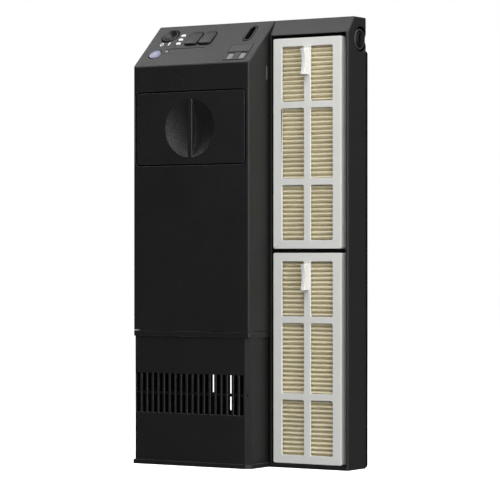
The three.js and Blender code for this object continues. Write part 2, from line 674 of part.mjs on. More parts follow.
place(model, 'drawer_front', drawerFront(), 'casing');
place(model, 'drawer_tray', drawerTray(), 'inner');
place(model, 'drawer_seal', drawerSeal(), 'rubber');
place(model, 'media_block', box(tray.x0 + trayWall + 0.6, tray.x1 - trayWall - 0.6, trayFront + trayWall + 0.6,
  trayBack - trayWall - 0.6, tray.z0 + trayWall + 0.4, tray.z1 - 2), 'media');
place(model, 'drawer_cradle', drawerCradle(), 'inner');

// ---------------------------------------------------------------- deck pieces

function flowDial() {
  const bowlRadius = 6.6;
  const bowlDepth = 3.2;
  const body = rod('z', dialRadius, 1.4 - dialWellDepth, 0.3, 0, 0, 40).add(rod('z', 1.6, -deckBoardDepth + 2.4, -5, 0, 0, 16));
  const bowl = solid(new THREE.SphereGeometry(bowlRadius, 28, 20).translate(0, 0, bowlRadius - bowlDepth));
  return body.subtract(bowl);
}

function keyCap(x) {
  const cap = solid(extruded(keyOutline(x, 0), keyRise + 3.4).translate(0, 0, -3.4));
  const crown = solid(new THREE.SphereGeometry(26, 32, 20).translate(x, keyUp, keyRise - 26.2));
  return cap.intersect(crown.add(box(x - keyWidth, x + keyWidth, keyUp - keyLength, keyUp + keyLength, -4, 0.6)));
}

const dial = new THREE.Group();
dial.position.set(dialAcross, dialUp, 0);
deck.add(dial);
place(dial, 'flow_dial', flowDial(), 'deck');
['left_key', 'right_key'].forEach((name, i) => place(deck, name, keyCap(keyCentres[i]), 'deck'));

const lens = new THREE.Group();
lens.position.set(lensAcross, lensUp, 0);
deck.add(lens);
place(lens, 'indicator_lens', turned([[0, -3], [lensRadius, -3], [lensRadius, 0.2], [lensRadius * 0.8, 0.7],
  [lensRadius * 0.45, 1], [0, 1.1]]), 'lens');
place(deck, 'status_light', box(statusLight.x - statusLight.w / 2, statusLight.x + statusLight.w / 2,
  statusLight.v - statusLight.l / 2, statusLight.v + statusLight.l / 2, -3, 0.3), 'light');
levelCentres.forEach((v, i) => place(deck, `level_light_${i + 1}`, box(levelAcross - levelLight.w / 2,
  levelAcross + levelLight.w / 2, v - levelLight.l / 2, v + levelLight.l / 2, -3, 0.4), 'light'));

function statusBezel() {
  const plate = box(panelRight - panelWidth, panelRight, panelUp, panelUp + panelLength, -panelRecess, 0.2);
  const windows = paneCentres.map((x) => box(x - paneSize.w / 2, x + paneSize.w / 2, paneUp, paneUp + paneSize.l, -3, 1));
  const groove = box(panelRight - panelWidth + 1, panelRight - 1, panelUp + 7.9, panelUp + 8.4, -0.3, 1);
  return cut(plate, [...windows, groove]);
}

place(deck, 'status_bezel', statusBezel(), 'deck');
['right_pane', 'left_pane'].forEach((name, i) => place(deck, name, box(paneCentres[i] - paneSize.w / 2 + touchGap,
  paneCentres[i] + paneSize.w / 2 - touchGap, paneUp + touchGap, paneUp + paneSize.l - touchGap,
  -panelRecess, 0), 'lens'));

place(deck, 'cable_slot_lining', solid(extruded(cableSlotOutline(1), 4.2).translate(0, 0, -4))
  .subtract(solid(extruded(cableSlotOutline(0), 8).translate(0, 0, -6))), 'rubber');

const boardTop = -deckBoardDepth;
const boardThick = 1.4;
const boardHigh = (ductY - ductRadius - 2 - front - (deckBoardDepth + boardThick) * Math.sin(deckAngle))
  / Math.cos(deckAngle);
place(deck, 'control_board', box(wall + 2, towerWidth - wall - 2, 8, boardHigh,
  boardTop - boardThick, boardTop), 'board');
place(deck, 'dial_encoder', cut(box(dialAcross - 5, dialAcross + 5, dialUp - 5, dialUp + 5, boardTop + touchGap,
  -dialWellDepth - touchGap), [rod('z', 1.6 + slideGap, boardTop - 1, boardTop + 4, dialAcross, dialUp, 16)]), 'inner');
place(deck, 'key_membrane', box(keyCentres[0] - keyWidth / 2, keyCentres[1] + keyWidth / 2, keyUp - keyLength / 2,
  keyUp + keyLength / 2, boardTop + touchGap, -3.4 - keyTravel - touchGap), 'rubber');

// ---------------------------------------------------------------- outlet

const collarOuter = outletRadius - slideGap - 1;
const collarInner = collarOuter - 1;
const ballRadius = collarInner - 0.4;
const ballIn = 3.7;              // ball centre behind the housing's side
const pinRadius = 0.9;

const outlet = new THREE.Group();
outlet.position.set(right, ductY, outletZ);
model.add(outlet);

function outletRing() {
  const outer = rod('x', outletRadius - touchGap, ringBack - right, -0.6, 0, 0, 40);
  const cup = rod('x', collarOuter + slideGap, ringBack - right + 2, 1, 0, 0, 40);
  const bore = rod('x', ductRadius - ductWall, ringBack - right - 1, 0, 0, 0, 32);
  const flange = rod('x', ductRadius + 0.4, ringBack - right - 0.01, ringBack - right + 2, 0, 0, 32);
  return cut(outer.add(flange), [cup, bore]);
}

function outletCollar() {
  const body = ring('x', collarOuter, collarInner, ringBack - right + 2.4, -0.9, 0, 0, 40);
  return body.subtract(rod('z', pinRadius + touchGap, -9, 9, -ballIn, 0, 12));
}

function outletNozzle() {
  const ball = solid(new THREE.SphereGeometry(ballRadius, 24, 16).translate(-ballIn, 0, 0));
  const band = box(-ballIn - ballRadius * 0.8, -0.3, -9, 9, -9, 9);
  const pins = rod('z', pinRadius, -collarInner - 0.6, collarInner + 0.6, -ballIn, 0, 12);
  const slot = box(-14, 6, -1.3, 1.3, -ballRadius * 0.62, ballRadius * 0.62);
  return ball.intersect(band).add(pins).subtract(slot);
}

place(outlet, 'outlet_ring', outletRing(), 'casing');
place(outlet, 'outlet_collar', outletCollar(), 'inner');
place(outlet, 'outlet_nozzle', outletNozzle(), 'resin');

// ---------------------------------------------------------------- pump and pipes

const pumpFloor = seamHeight + 8;
const coverThick = 2;
const voluteOuter = impellerRadius + 4.5;
const pumpAxis = { x: riserX - ductRadius - motorToRiser - motorWidth / 2, y: ductY - voluteOuter + ductRadius };
const voluteLow = pumpFloor + coverThick + touchGap;
const voluteHigh = voluteLow + impellerHeight + 8;
const motorLow = voluteHigh + touchGap;
const pump = new THREE.Group();
pump.position.set(pumpAxis.x, pumpAxis.y, 0);
model.add(pump);

const stubZ = voluteLow + 2 + ductRadius;
const stubY = ductY - pumpAxis.y;

function pumpVolute() {
  const cup = rod('z', voluteOuter, voluteLow, voluteHigh, 0, 0, 40);
  const stub = rod('x', ductRadius, 0, voluteOuter + 4, stubY, stubZ);
  const chamber = rod('z', impellerRadius + 2, voluteLow - 1, voluteHigh - 2, 0, 0, 40);
  const neck = rod('z', rotorRadius + 1, voluteLow, voluteHigh + 1, 0, 0, 32);
  const stubBore = rod('x', ductRadius - ductWall, 0, voluteOuter + 6, stubY, stubZ);
  const high = box(-30, 30, -30, 30, voluteLow, voluteHigh);
  return cut(cup.add(stub.intersect(high)), [chamber, neck, stubBore]);
}

function voluteCover() {
  const disc = rod('z', voluteOuter, pumpFloor, pumpFloor + coverThick, 0, 0, 40);
  const eye = rod('z', 7, pumpFloor - 1, pumpFloor + 5, 0, 0, 28);
  const spokes = [0, 1].map((i) => solid(boxGeometry(-8, 8, -0.9, 0.9, pumpFloor, pumpFloor + coverThick)
    .rotateZ(i * Math.PI / 2)));
  const hub = rod('z', 3.4, pumpFloor, pumpFloor + coverThick, 0, 0, 20);
  const hole = rod('z', shaftRadius + 0.3, pumpFloor - 1, pumpFloor + 5, 0, 0, 16);
  return joined([disc.subtract(eye), ...spokes, hub]).subtract(hole);
}

const impellerLow = voluteLow + 2.6;
const impellerHigh = impellerLow + impellerHeight;
const rotorLow = impellerHigh + touchGap;
const rotorHigh = rotorLow + rotorHeight;
const shaftHigh = rotorHigh + 4;

function impeller() {
  const disc = rod('z', impellerRadius, impellerHigh - 1.4, impellerHigh, 0, 0, 40);
  const hub = rod('z', 3.4, impellerLow, impellerHigh, 0, 0, 20);
  const blades = Array.from({ length: 6 }, (_, i) => solid(
    boxGeometry(2.4, impellerRadius - 0.4, -0.6, 0.6, impellerLow, impellerHigh - 1)
      .rotateZ(i * Math.PI / 3)));
  return joined([disc, hub, ...blades]).subtract(rod('z', shaftRadius + 0.4, 0, height, 0, 0, 16));
}

function motorBlock() {
  const body = prismZ(roundedRect(-motorWidth / 2, motorWidth / 2, -motorDepth / 2, motorDepth / 2, 5),
    motorLow, motorLow + motorHeight);
  return body.subtract(rod('z', rotorRadius + 1, motorLow - 1, shaftHigh + 1, 0, 0, 32));
}

place(pump, 'volute_cover', voluteCover(), 'inner');
place(pump, 'pump_volute', pumpVolute(), 'inner');
place(pump, 'impeller', impeller(), 'white');
place(pump, 'rotor_magnet', ring('z', rotorRadius, shaftRadius + 0.4, rotorLow, rotorHigh, 0, 0, 32), 'magnet');
place(pump, 'rotor_shaft', rod('z', shaftRadius, pumpFloor + 0.2, shaftHigh, 0, 0, 20), 'ceramic');
place(pump, 'lower_bush', ring('z', 3, shaftRadius + 0.3, pumpFloor + coverThick + touchGap,
  impellerLow - touchGap, 0, 0, 20), 'rubber');
place(pump, 'upper_bush', ring('z', rotorRadius + 0.6, shaftRadius + 0.3, rotorHigh + 0.5, shaftHigh,
  0, 0, 28), 'rubber');
place(pump, 'motor_block', motorBlock(), 'resin');

// An open frame under the pump that carries it on the two long walls of the tower.
function pumpBracket() {
  const x0 = left + wall + slideGap - pumpAxis.x;
  const x1 = towerRight - wall - slideGap - pumpAxis.x;
  const y0 = front + wall + slideGap - pumpAxis.y;
  const y1 = coverFront - touchGap - postDepth - 1 - pumpAxis.y;
  const high = pumpFloor - touchGap;
  const low = high - 2.4;
  const disc = rod('z', voluteOuter, low, high, 0, 0, 40);
  const eye = rod('z', 11, low - 1, high + 1, 0, 0, 32);
  const rails = [[y0, y0 + 4], [y1 - 4, y1]].map(([a, b]) => box(x0, x1, a, b, low, high));
  const arms = [box(-4, 4, y0, y1, low, high), box(x0, x0 + 4, y0, y1, low, high), box(x1 - 4, x1, y0, y1, low, high)];
  return joined([disc, ...rails, ...arms]).subtract(eye);
}

place(pump, 'pump_bracket', pumpBracket(), 'inner');

const point = (x, z) => new THREE.Vector3(x, ductY, z);
const turnRadius = 9;
const riserEnd = outletZ - turnRadius - 18;

function riserPipe() {
  const start = pumpAxis.x + voluteOuter + 4 + touchGap;
  return pipe([point(start, stubZ), point(riserX, stubZ), point(riserX, riserEnd)],
    ductRadius, ductRadius - ductWall, turnRadius);
}

function outletDuct() {
  return pipe([point(riserX, riserEnd + touchGap), point(riserX, outletZ), point(ringBack - touchGap, outletZ)],
    ductRadius, ductRadius - ductWall, turnRadius);
}

place(model, 'riser_pipe', riserPipe(), 'inner');
place(model, 'outlet_duct', outletDuct(), 'inner');
place(model, 'duct_seal', ring('z', ductRadius + 0.9, ductRadius + touchGap, riserEnd - 4, riserEnd + 4,
  riserX, ductY, 28), 'rubber');

function crossoverSleeve() {
  const x0 = towerRight - wall - 1;
  const x1 = opening.x0 + 1;
  const g = touchGap;
  const t = 1.4;
  return box(x0, x1, crossover.y0 + g, crossover.y1 - g, crossover.z0 + g, crossover.z1 - g)
    .subtract(box(x0 - 1, x1 + 1, crossover.y0 + g + t, crossover.y1 - g - t, crossover.z0 + g + t, crossover.z1 - g - t));
}

place(model, 'crossover_sleeve', crossoverSleeve(), 'rubber');

// ---------------------------------------------------------------- back cover

function backCover() {
  const low = seamHeight + touchGap;
  const inset = 0.4;
  const plate = prismY(outline([[left + inset + 2, low], [towerRight, low], [towerRight, inset], [right - inset - 2, inset],
    [right - inset, inset + 2], [right - inset, coverTop - 2], [right - inset - 2, coverTop],
    [left + inset + 2, coverTop], [left + inset, coverTop - 2], [left + inset, low + 2]]), caseBack + touchGap, back);
  const slip = touchGap;
  const towerPlug = box(left + wall + slip, towerRight - wall - slip, coverFront, caseBack + touchGap + 0.2,
    low + plugMargin, coverTop - plugMargin);
  const blockPlug = box(opening.x0 + slip, opening.x1 - slip, coverFront, caseBack + touchGap + 0.2,
    opening.z0 + slip, coverTop - plugMargin);
  const holes = [...towerScrews, ...blockScrews].flatMap(([x, z]) => [
    rod('y', screwShank + 0.3, coverFront - 2, back + 1, x, z, 16),
    rod('y', screwHead + 0.3, back - 1.8, back + 1, x, z, 24)]);
  return cut(joined([plate, towerPlug, blockPlug]), holes);
}

place(model, 'back_cover', backCover(), 'casing');

function coverScrew() {
  const head = rod('y', screwHead, back - 1.5, back - 0.1, 0, 0, 18);
  const shank = rod('y', screwShank, back - 1.5 - screwLength, back - 1.4, 0, 0, 8);
  const drive = joined([box(-1.8, 1.8, back - 0.9, back + 1, -0.4, 0.4), box(-0.4, 0.4, back - 0.9, back + 1, -1.8, 1.8)]);
  return head.add(shank).subtract(drive);
}

[...towerScrews, ...blockScrews].forEach(([x, z], i) => {
  place(model, `cover_screw_${i + 1}`, coverScrew(), 'steel').position.set(x, 0, z);
});

export default model;
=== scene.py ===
import math

import bmesh
import bpy
from mathutils import Matrix, Vector


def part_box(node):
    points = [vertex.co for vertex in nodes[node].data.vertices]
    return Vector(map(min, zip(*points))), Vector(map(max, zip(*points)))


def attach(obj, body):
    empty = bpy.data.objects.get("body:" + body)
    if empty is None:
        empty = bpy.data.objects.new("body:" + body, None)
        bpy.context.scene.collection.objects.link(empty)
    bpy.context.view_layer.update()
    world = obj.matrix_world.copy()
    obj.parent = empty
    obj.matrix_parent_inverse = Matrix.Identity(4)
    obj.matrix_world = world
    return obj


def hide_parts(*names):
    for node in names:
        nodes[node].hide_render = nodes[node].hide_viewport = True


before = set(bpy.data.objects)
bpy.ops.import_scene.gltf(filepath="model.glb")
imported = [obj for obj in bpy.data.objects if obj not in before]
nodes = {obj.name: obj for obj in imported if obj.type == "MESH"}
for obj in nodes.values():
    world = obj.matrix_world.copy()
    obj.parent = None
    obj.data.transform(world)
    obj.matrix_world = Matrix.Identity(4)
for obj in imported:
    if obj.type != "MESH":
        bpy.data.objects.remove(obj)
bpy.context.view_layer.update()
mm = 0.001

# camera: level, a long lens, from the right of the front

cameraValues = {"lens": 179.6, "place": (0.9027, -1.4202, 0.1409), "turn": 32.426, "shiftUp": 0.0138,
                "sensor": 36, "far": 50}


def makeCamera():
    turn = (math.radians(90), 0, math.radians(cameraValues["turn"]))
    bpy.ops.object.camera_add(location=cameraValues["place"], rotation=turn)
    camera = bpy.context.object
    camera.name = "camera"
    camera.data.lens = cameraValues["lens"]
    camera.data.sensor_width = cameraValues["sensor"]
    camera.data.shift_y = cameraValues["shiftUp"]
    camera.data.clip_end = cameraValues["far"]
    bpy.context.scene.camera = camera


makeCamera()
print("camera ready")

# selecting and shaping


def selectOnly(piece):
    if bpy.context.mode != "OBJECT":
        bpy.ops.object.mode_set(mode="OBJECT")
    bpy.ops.object.select_all(action="DESELECT")
    piece.select_set(True)
    bpy.context.view_layer.objects.active = piece


def startEdit(piece, kind="VERT"):
    selectOnly(piece)
    bpy.ops.object.mode_set(mode="EDIT")
    bpy.ops.mesh.select_mode(type=kind)
    bpy.ops.mesh.select_all(action="DESELECT")


def endEdit():
    bpy.ops.object.mode_set(mode="OBJECT")


def pickEdges(piece, test):
    startEdit(piece, "EDGE")
    mesh = bmesh.from_edit_mesh(piece.data)
    for edge in mesh.edges:
        edge.select_set(bool(test(edge.verts[0].co, edge.verts[1].co)))
    mesh.select_flush_mode()
    bmesh.update_edit_mesh(piece.data)


def pickVerts(piece, test):
    startEdit(piece, "VERT")
    mesh = bmesh.from_edit_mesh(piece.data)
    for vert in mesh.verts:
        vert.select_set(bool(test(vert.co)))
    mesh.select_flush_mode()
    bmesh.update_edit_mesh(piece.data)


def bevelEdges(piece, test, width, segments=4):
    pickEdges(piece, test)
    bpy.ops.mesh.bevel(offset=width, segments=segments, affect="EDGES")
    endEdit()


def applyModifier(piece, kind, **values):
    selectOnly(piece)
    modifier = piece.modifiers.new(kind.title(), kind)
    for key, value in values.items():
        setattr(modifier, key, value)
    bpy.ops.object.modifier_apply(modifier=modifier.name)


def applyPlace(piece):
    selectOnly(piece)
    bpy.ops.object.transform_apply(location=True, rotation=True, scale=True)


def cutWith(piece, *cutters):
    for cutter in cutters:
        applyModifier(piece, "BOOLEAN", operation="DIFFERENCE", object=cutter, solver="EXACT")
        bpy.data.objects.remove(cutter)


def joinWith(piece, *others):
    for other in others:
        applyModifier(piece, "BOOLEAN", operation="UNION", object=other, solver="EXACT")
        bpy.data.objects.remove(other)


def keepInside(piece, other):
    applyModifier(piece, "BOOLEAN", operation="INTERSECT", object=other, solver="EXACT")
    bpy.data.objects.remove(other)


def softenEdges(piece, width, segments=3, angle=30):
    applyModifier(piece, "BEVEL", width=width, segments=segments, limit_method="ANGLE",
                  angle_limit=math.radians(angle), use_clamp_overlap=False)


def smoothShade(piece, angle=35):
    selectOnly(piece)
    bpy.ops.object.shade_smooth_by_angle(angle=math.radians(angle))
    applyModifier(piece, "WEIGHTED_NORMAL", keep_sharp=True, weight=60)


def roundedBox(name, low, high, radius=0, axis="z", segments=6):
    # a box whose four edges along one axis are rounded
    centre = [(a + b) / 2 for a, b in zip(low, high)]
    size = [b - a for a, b in zip(low, high)]
    bpy.ops.mesh.primitive_cube_add(size=1, location=centre, scale=size)
    piece = bpy.context.object
    piece.name = name
    applyPlace(piece)
    if radius:
        i = "xyz".index(axis)
        bevelEdges(piece, lambda a, b: abs(b[i] - a[i]) > size[i] / 2, radius, segments)
    return piece


def rod(name, radius, low, high, centre, axis="z", sides=48):
    # a round bar between two stations along one axis
    turn = {"x": (0, math.pi / 2, 0), "y": (math.pi / 2, 0, 0), "z": (0, 0, 0)}[axis]
    i = "xyz".index(axis)
    place = list(centre)
    place.insert(i, (low + high) / 2)
    bpy.ops.mesh.primitive_cylinder_add(vertices=sides, radius=radius, depth=high - low, location=place,
                                        rotation=turn)
    piece = bpy.context.object
    piece.name = name
    applyPlace(piece)
    return piece


def ball(name, radius, centre, segments=64, rings=32, axis="z"):
    turn = {"x": (0, math.pi / 2, 0), "y": (math.pi / 2, 0, 0), "z": (0, 0, 0)}[axis]
    bpy.ops.mesh.primitive_uv_sphere_add(segments=segments, ring_count=rings, radius=radius, location=centre,
                                         rotation=turn)
    piece = bpy.context.object
    piece.name = name
    applyPlace(piece)
    return piece


def boxOf(nodeName):
    low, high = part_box(nodeName)
    return low / mm, high / mm


def fit(piece, body, materialName, slotName, *replaced):
    # pieces are drawn in millimetres, and are brought to metres here
    piece.scale = (mm, mm, mm)
    applyPlace(piece)
    piece.data.materials.clear()
    piece.data.materials.append(materials[materialName])
    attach(piece, body)
    if replaced:
        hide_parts(*replaced)
    return piece


def darkenInside(piece, low, high, slope=None, skin=0.45):
    # the faces that lie deeper than a thin skin are the unlit inside; sizes are in millimetres
    piece.data.materials.append(materials["shadowPlastic"])
    for face in piece.data.polygons:
        at = face.center / mm
        inside = all(a + skin < c < b - skin for a, c, b in zip(low, at, high))
        if slope:
            inside = inside and sum((c - p) * n for c, p,
                                    n in zip(at, slope["point"], slope["normal"])) < -skin
        face.material_index = int(inside)


# shared shader groups


def newGroup(name, inputs, outputs):
    # inputs are named with their defaults, and one without a default is a vector
    group = bpy.data.node_groups.new(name, "ShaderNodeTree")
    for socketName, value in inputs.items():
        kind = "Vector" if value is None else "Float" if isinstance(value, float) else "Color"
        socket = group.interface.new_socket(name=socketName, in_out="INPUT", socket_type="NodeSocket" + kind)
        if value is not None:
            socket.default_value = value
    for socketName, kind in outputs.items():
        group.interface.new_socket(name=socketName, in_out="OUTPUT", socket_type="NodeSocket" + kind)
    return group, group.nodes.new("NodeGroupInput"), group.nodes.new("NodeGroupOutput")


def addNode(tree, kind, settings=None, **inputs):
    node = tree.nodes.new("ShaderNode" + kind)
    for key, value in (settings or {}).items():
        setattr(node, key, value)
    for key, value in inputs.items():
        socket = node.inputs[key.replace("_", " ")] if not key[-1].isdigit() else node.inputs[int(key[-1])]
        if isinstance(value, bpy.types.NodeSocket):
            tree.links.new(value, socket)
        else:
            socket.default_value = value
    return node


def feed(tree, node, **sources):
    for key, source in sources.items():
        tree.links.new(source, node.inputs[key.replace("_", " ")])


def mixColours(tree, factor, first, second, blend="MIX"):
    node = tree.nodes.new("ShaderNodeMix")
    node.data_type = "RGBA"
    node.blend_type = blend
    for socket, value in ((node.inputs[0], factor), (node.inputs[6], first), (node.inputs[7], second)):
        if isinstance(value, bpy.types.NodeSocket):
            tree.links.new(value, socket)
        else:
            socket.default_value = value
    return node.outputs[2]


def mathNode(tree, operation, first, second=0.0, clamp=False):
    return addNode(tree, "Math", {"operation": operation, "use_clamp": clamp}, in0=first,
                   in1=second).outputs[0]


def rangeNode(tree, value, fromMin, fromMax, toMin, toMax):
    node = addNode(tree, "MapRange", {"clamp": True}, Value=value)
    for key, number in (("From Min", fromMin), ("From Max", fromMax), ("To Min", toMin), ("To Max", toMax)):
        if isinstance(number, bpy.types.NodeSocket):
            tree.links.new(number, node.inputs[key])
        else:
            node.inputs[key].default_value = number
    return node.outputs["Result"]


def mouldedGrainGroup():
    # the fine spark-eroded texture of a moulded case, with slow changes of gloss
    group, start, end = newGroup("mouldedGrain",
                                 {"Vector": None, "Grain": 2600.0, "Depth": 0.00006, "Roughness": 0.5,
                                  "Spread": 0.1}, {"Roughness": "Float", "Normal": "Vector"})
    vector = start.outputs["Vector"]
    pits = addNode(group, "TexVoronoi", {"feature": "F1"}, Vector=vector, Scale=start.outputs["Grain"])
    fine = addNode(group, "TexNoise", None, Vector=vector, Scale=start.outputs["Grain"], Detail=2.0,
                   Roughness=0.6)
    height = mathNode(group, "ADD", pits.outputs["Distance"], fine.outputs["Fac"])
    bump = addNode(group, "Bump", None, Height=height, Distance=start.outputs["Depth"], Strength=1.0)
    slow = addNode(group, "TexNoise", None, Vector=vector, Scale=26.0, Detail=3.0)
    swing = mathNode(group, "MULTIPLY", mathNode(group, "SUBTRACT", slow.outputs["Fac"], 0.5),
                     start.outputs["Spread"])
    feed(group, end, Roughness=mathNode(group, "ADD", start.outputs["Roughness"], swing, True),
         Normal=bump.outputs["Normal"])
    return group


def paintedEdgeLightGroup():
    # a painted highlight along every edge: the face colour is mixed, in uneven patches, towards a paler edge
    # colour; where the edge colour is darker, as round the lamps and panes, it is a painted shade
    group, start, end = newGroup("paintedEdgeLight", {"Vector": None, "Color": (0, 0, 0, 1),
                                             "Rub Color": (0.2, 0.2, 0.2, 1), "Amount": 0.5,
                                             "Radius": 0.0005}, {"Color": "Color"})
    rounded = addNode(group, "Bevel", {"samples": 4}, Radius=start.outputs["Radius"])
    shape = addNode(group, "NewGeometry")
    dot = addNode(group, "VectorMath", {"operation": "DOT_PRODUCT"}, in0=rounded.outputs["Normal"],
                  in1=shape.outputs["Normal"]).outputs["Value"]
    edge = rangeNode(group, mathNode(group, "SUBTRACT", 1.0, dot), 0.02, 0.2, 0.0, 1.0)
    patchy = addNode(group, "TexNoise", None, Vector=start.outputs["Vector"], Scale=90.0, Detail=4.0)
    patchShare = rangeNode(group, patchy.outputs["Fac"], 0.35, 0.65, 0.4, 1.0)
    mask = mathNode(group, "MULTIPLY", mathNode(group, "MULTIPLY", edge, patchShare), start.outputs["Amount"], True)
    group.links.new(mixColours(group, mask, start.outputs["Color"], start.outputs["Rub Color"]),
                    end.inputs["Color"])
    return group


def dustVeilGroup():
    # thin dust that lies on what faces up, and uneven colour all over
    group, start, end = newGroup("dustVeil", {"Vector": None, "Color": (0, 0, 0, 1),
                                              "Dust Color": (0.5, 0.48, 0.45, 1), "Amount": 0.03,
                                              "Mottle": 0.1}, {"Color": "Color"})
    shape = addNode(group, "NewGeometry")
    up = addNode(group, "SeparateXYZ", None, Vector=shape.outputs["Normal"]).outputs["Z"]
    cloud = addNode(group, "TexNoise", None, Vector=start.outputs["Vector"], Scale=45.0, Detail=5.0,
                    Roughness=0.6)
    share = mathNode(group, "MULTIPLY", rangeNode(group, up, 0.1, 0.9, 0.0, 1.0),
                     rangeNode(group, cloud.outputs["Fac"], 0.3, 0.7, 0.3, 1.0))
    dusty = mixColours(group, mathNode(group, "MULTIPLY", share, start.outputs["Amount"], True),
                       start.outputs["Color"], start.outputs["Dust Color"])
    level = rangeNode(group, cloud.outputs["Fac"], 0.3, 0.7,
                      mathNode(group, "SUBTRACT", 1.0, start.outputs["Mottle"]), 1.0)
    shade = addNode(group, "CombineColor", None, Red=level, Green=level, Blue=level)
    group.links.new(mixColours(group, 1.0, dusty, shade.outputs["Color"], "MULTIPLY"), end.inputs["Color"])
    return group


def paperFibreGroup():
    # long soft fibres of a felted paper, and its faint blotches
    group, start, end = newGroup("paperFibre", {"Vector": None, "Color": (0.6, 0.55, 0.4, 1),
                                                "Fibre Color": (0.8, 0.75, 0.6, 1), "Depth": 0.00005},
                                                {"Color": "Color", "Normal": "Vector"})
    stretched = addNode(group, "Mapping", None, Vector=start.outputs["Vector"], Scale=(1.0, 4.0, 4.0))
    fibre = addNode(group, "TexNoise", None, Vector=stretched.outputs["Vector"], Scale=900.0, Detail=4.0,
                    Roughness=0.7, Distortion=0.8)
    blotch = addNode(group, "TexNoise", None, Vector=start.outputs["Vector"], Scale=120.0, Detail=3.0)
    share = mathNode(group, "MULTIPLY", rangeNode(group, fibre.outputs["Fac"], 0.35, 0.7, 0.0, 1.0),
                     rangeNode(group, blotch.outputs["Fac"], 0.3, 0.7, 0.4, 1.0))
    bump = addNode(group, "Bump", None, Height=fibre.outputs["Fac"], Distance=start.outputs["Depth"],
                   Strength=1.0)
    feed(group, end, Color=mixColours(group, share, start.outputs["Color"], start.outputs["Fibre Color"]),
         Normal=bump.outputs["Normal"])
    return group


def openCellsGroup():
    # the open cells of a foam or the grains of a bonded medium, each pit darker towards its bottom as painted
    # shade
    group, start, end = newGroup("openCells", {"Vector": None, "Color": (0.1, 0.1, 0.1, 1),
                                               "Cell Color": (0.0, 0.0, 0.0, 1), "Cells": 900.0,
                                               "Depth": 0.0004}, {"Color": "Color", "Normal": "Vector"})
    cells = addNode(group, "TexVoronoi", {"feature": "F1"}, Vector=start.outputs["Vector"],
                    Scale=start.outputs["Cells"])
    pit = rangeNode(group, cells.outputs["Distance"], 0.0, 0.55, 0.0, 1.0)
    bump = addNode(group, "Bump", None, Height=pit, Distance=start.outputs["Depth"], Strength=1.0)
    feed(group, end, Color=mixColours(group, pit, start.outputs["Cell Color"], start.outputs["Color"]),
         Normal=bump.outputs["Normal"])
    return group


def drawnMetalGroup():
    # the fine turning lines of drawn or turned steel
    group, start, end = newGroup("drawnMetal", {"Vector": None, "Roughness": 0.3, "Depth": 0.00002},
                                 {"Roughness": "Float", "Normal": "Vector"})
    lines = addNode(group, "TexWave", {"wave_type": "RINGS", "rings_direction": "Z"},
                    Vector=start.outputs["Vector"],
                    Scale=700.0, Distortion=3.0, Detail=2.0)
    stain = addNode(group, "TexNoise", None, Vector=start.outputs["Vector"], Scale=300.0, Detail=4.0)
    rough = mathNode(group, "ADD", start.outputs["Roughness"],
                     rangeNode(group, stain.outputs["Fac"], 0.3, 0.7, -0.08, 0.12))
    bump = addNode(group, "Bump", None, Height=lines.outputs["Fac"], Distance=start.outputs["Depth"],
                   Strength=1.0)
    feed(group, end, Roughness=rough, Normal=bump.outputs["Normal"])
    return group


groups = {"mouldedGrain": mouldedGrainGroup(), "paintedEdgeLight": paintedEdgeLightGroup(), "dustVeil": dustVeilGroup(),
          "paperFibre": paperFibreGroup(), "openCells": openCellsGroup(), "drawnMetal": drawnMetalGroup()}
print("shader groups:", len(groups))

# materials


def useGroup(tree, groupName, vector, **inputs):
    node = tree.nodes.new("ShaderNodeGroup")
    node.node_tree = groups[groupName]
    tree.links.new(vector, node.inputs["Vector"])
    for key, value in inputs.items():
        socket = node.inputs[key.replace("_", " ")]
        if isinstance(value, bpy.types.NodeSocket):
            tree.links.new(value, socket)
        else:
            socket.default_value = value
    return node


def startMaterial(name, **sockets):
    material = bpy.data.materials.new(name)
    material.use_nodes = True
    tree = material.node_tree
    shader = tree.nodes["Principled BSDF"]
    for key, value in sockets.items():
        shader.inputs[key.replace("_", " ")].default_value = value
    vector = tree.nodes.new("ShaderNodeTexCoord").outputs["Object"]
    return material, tree, shader, vector


def grey(level, warmth=0.0):
    return (level * (1 + warmth), level, level * (1 - warmth), 1)
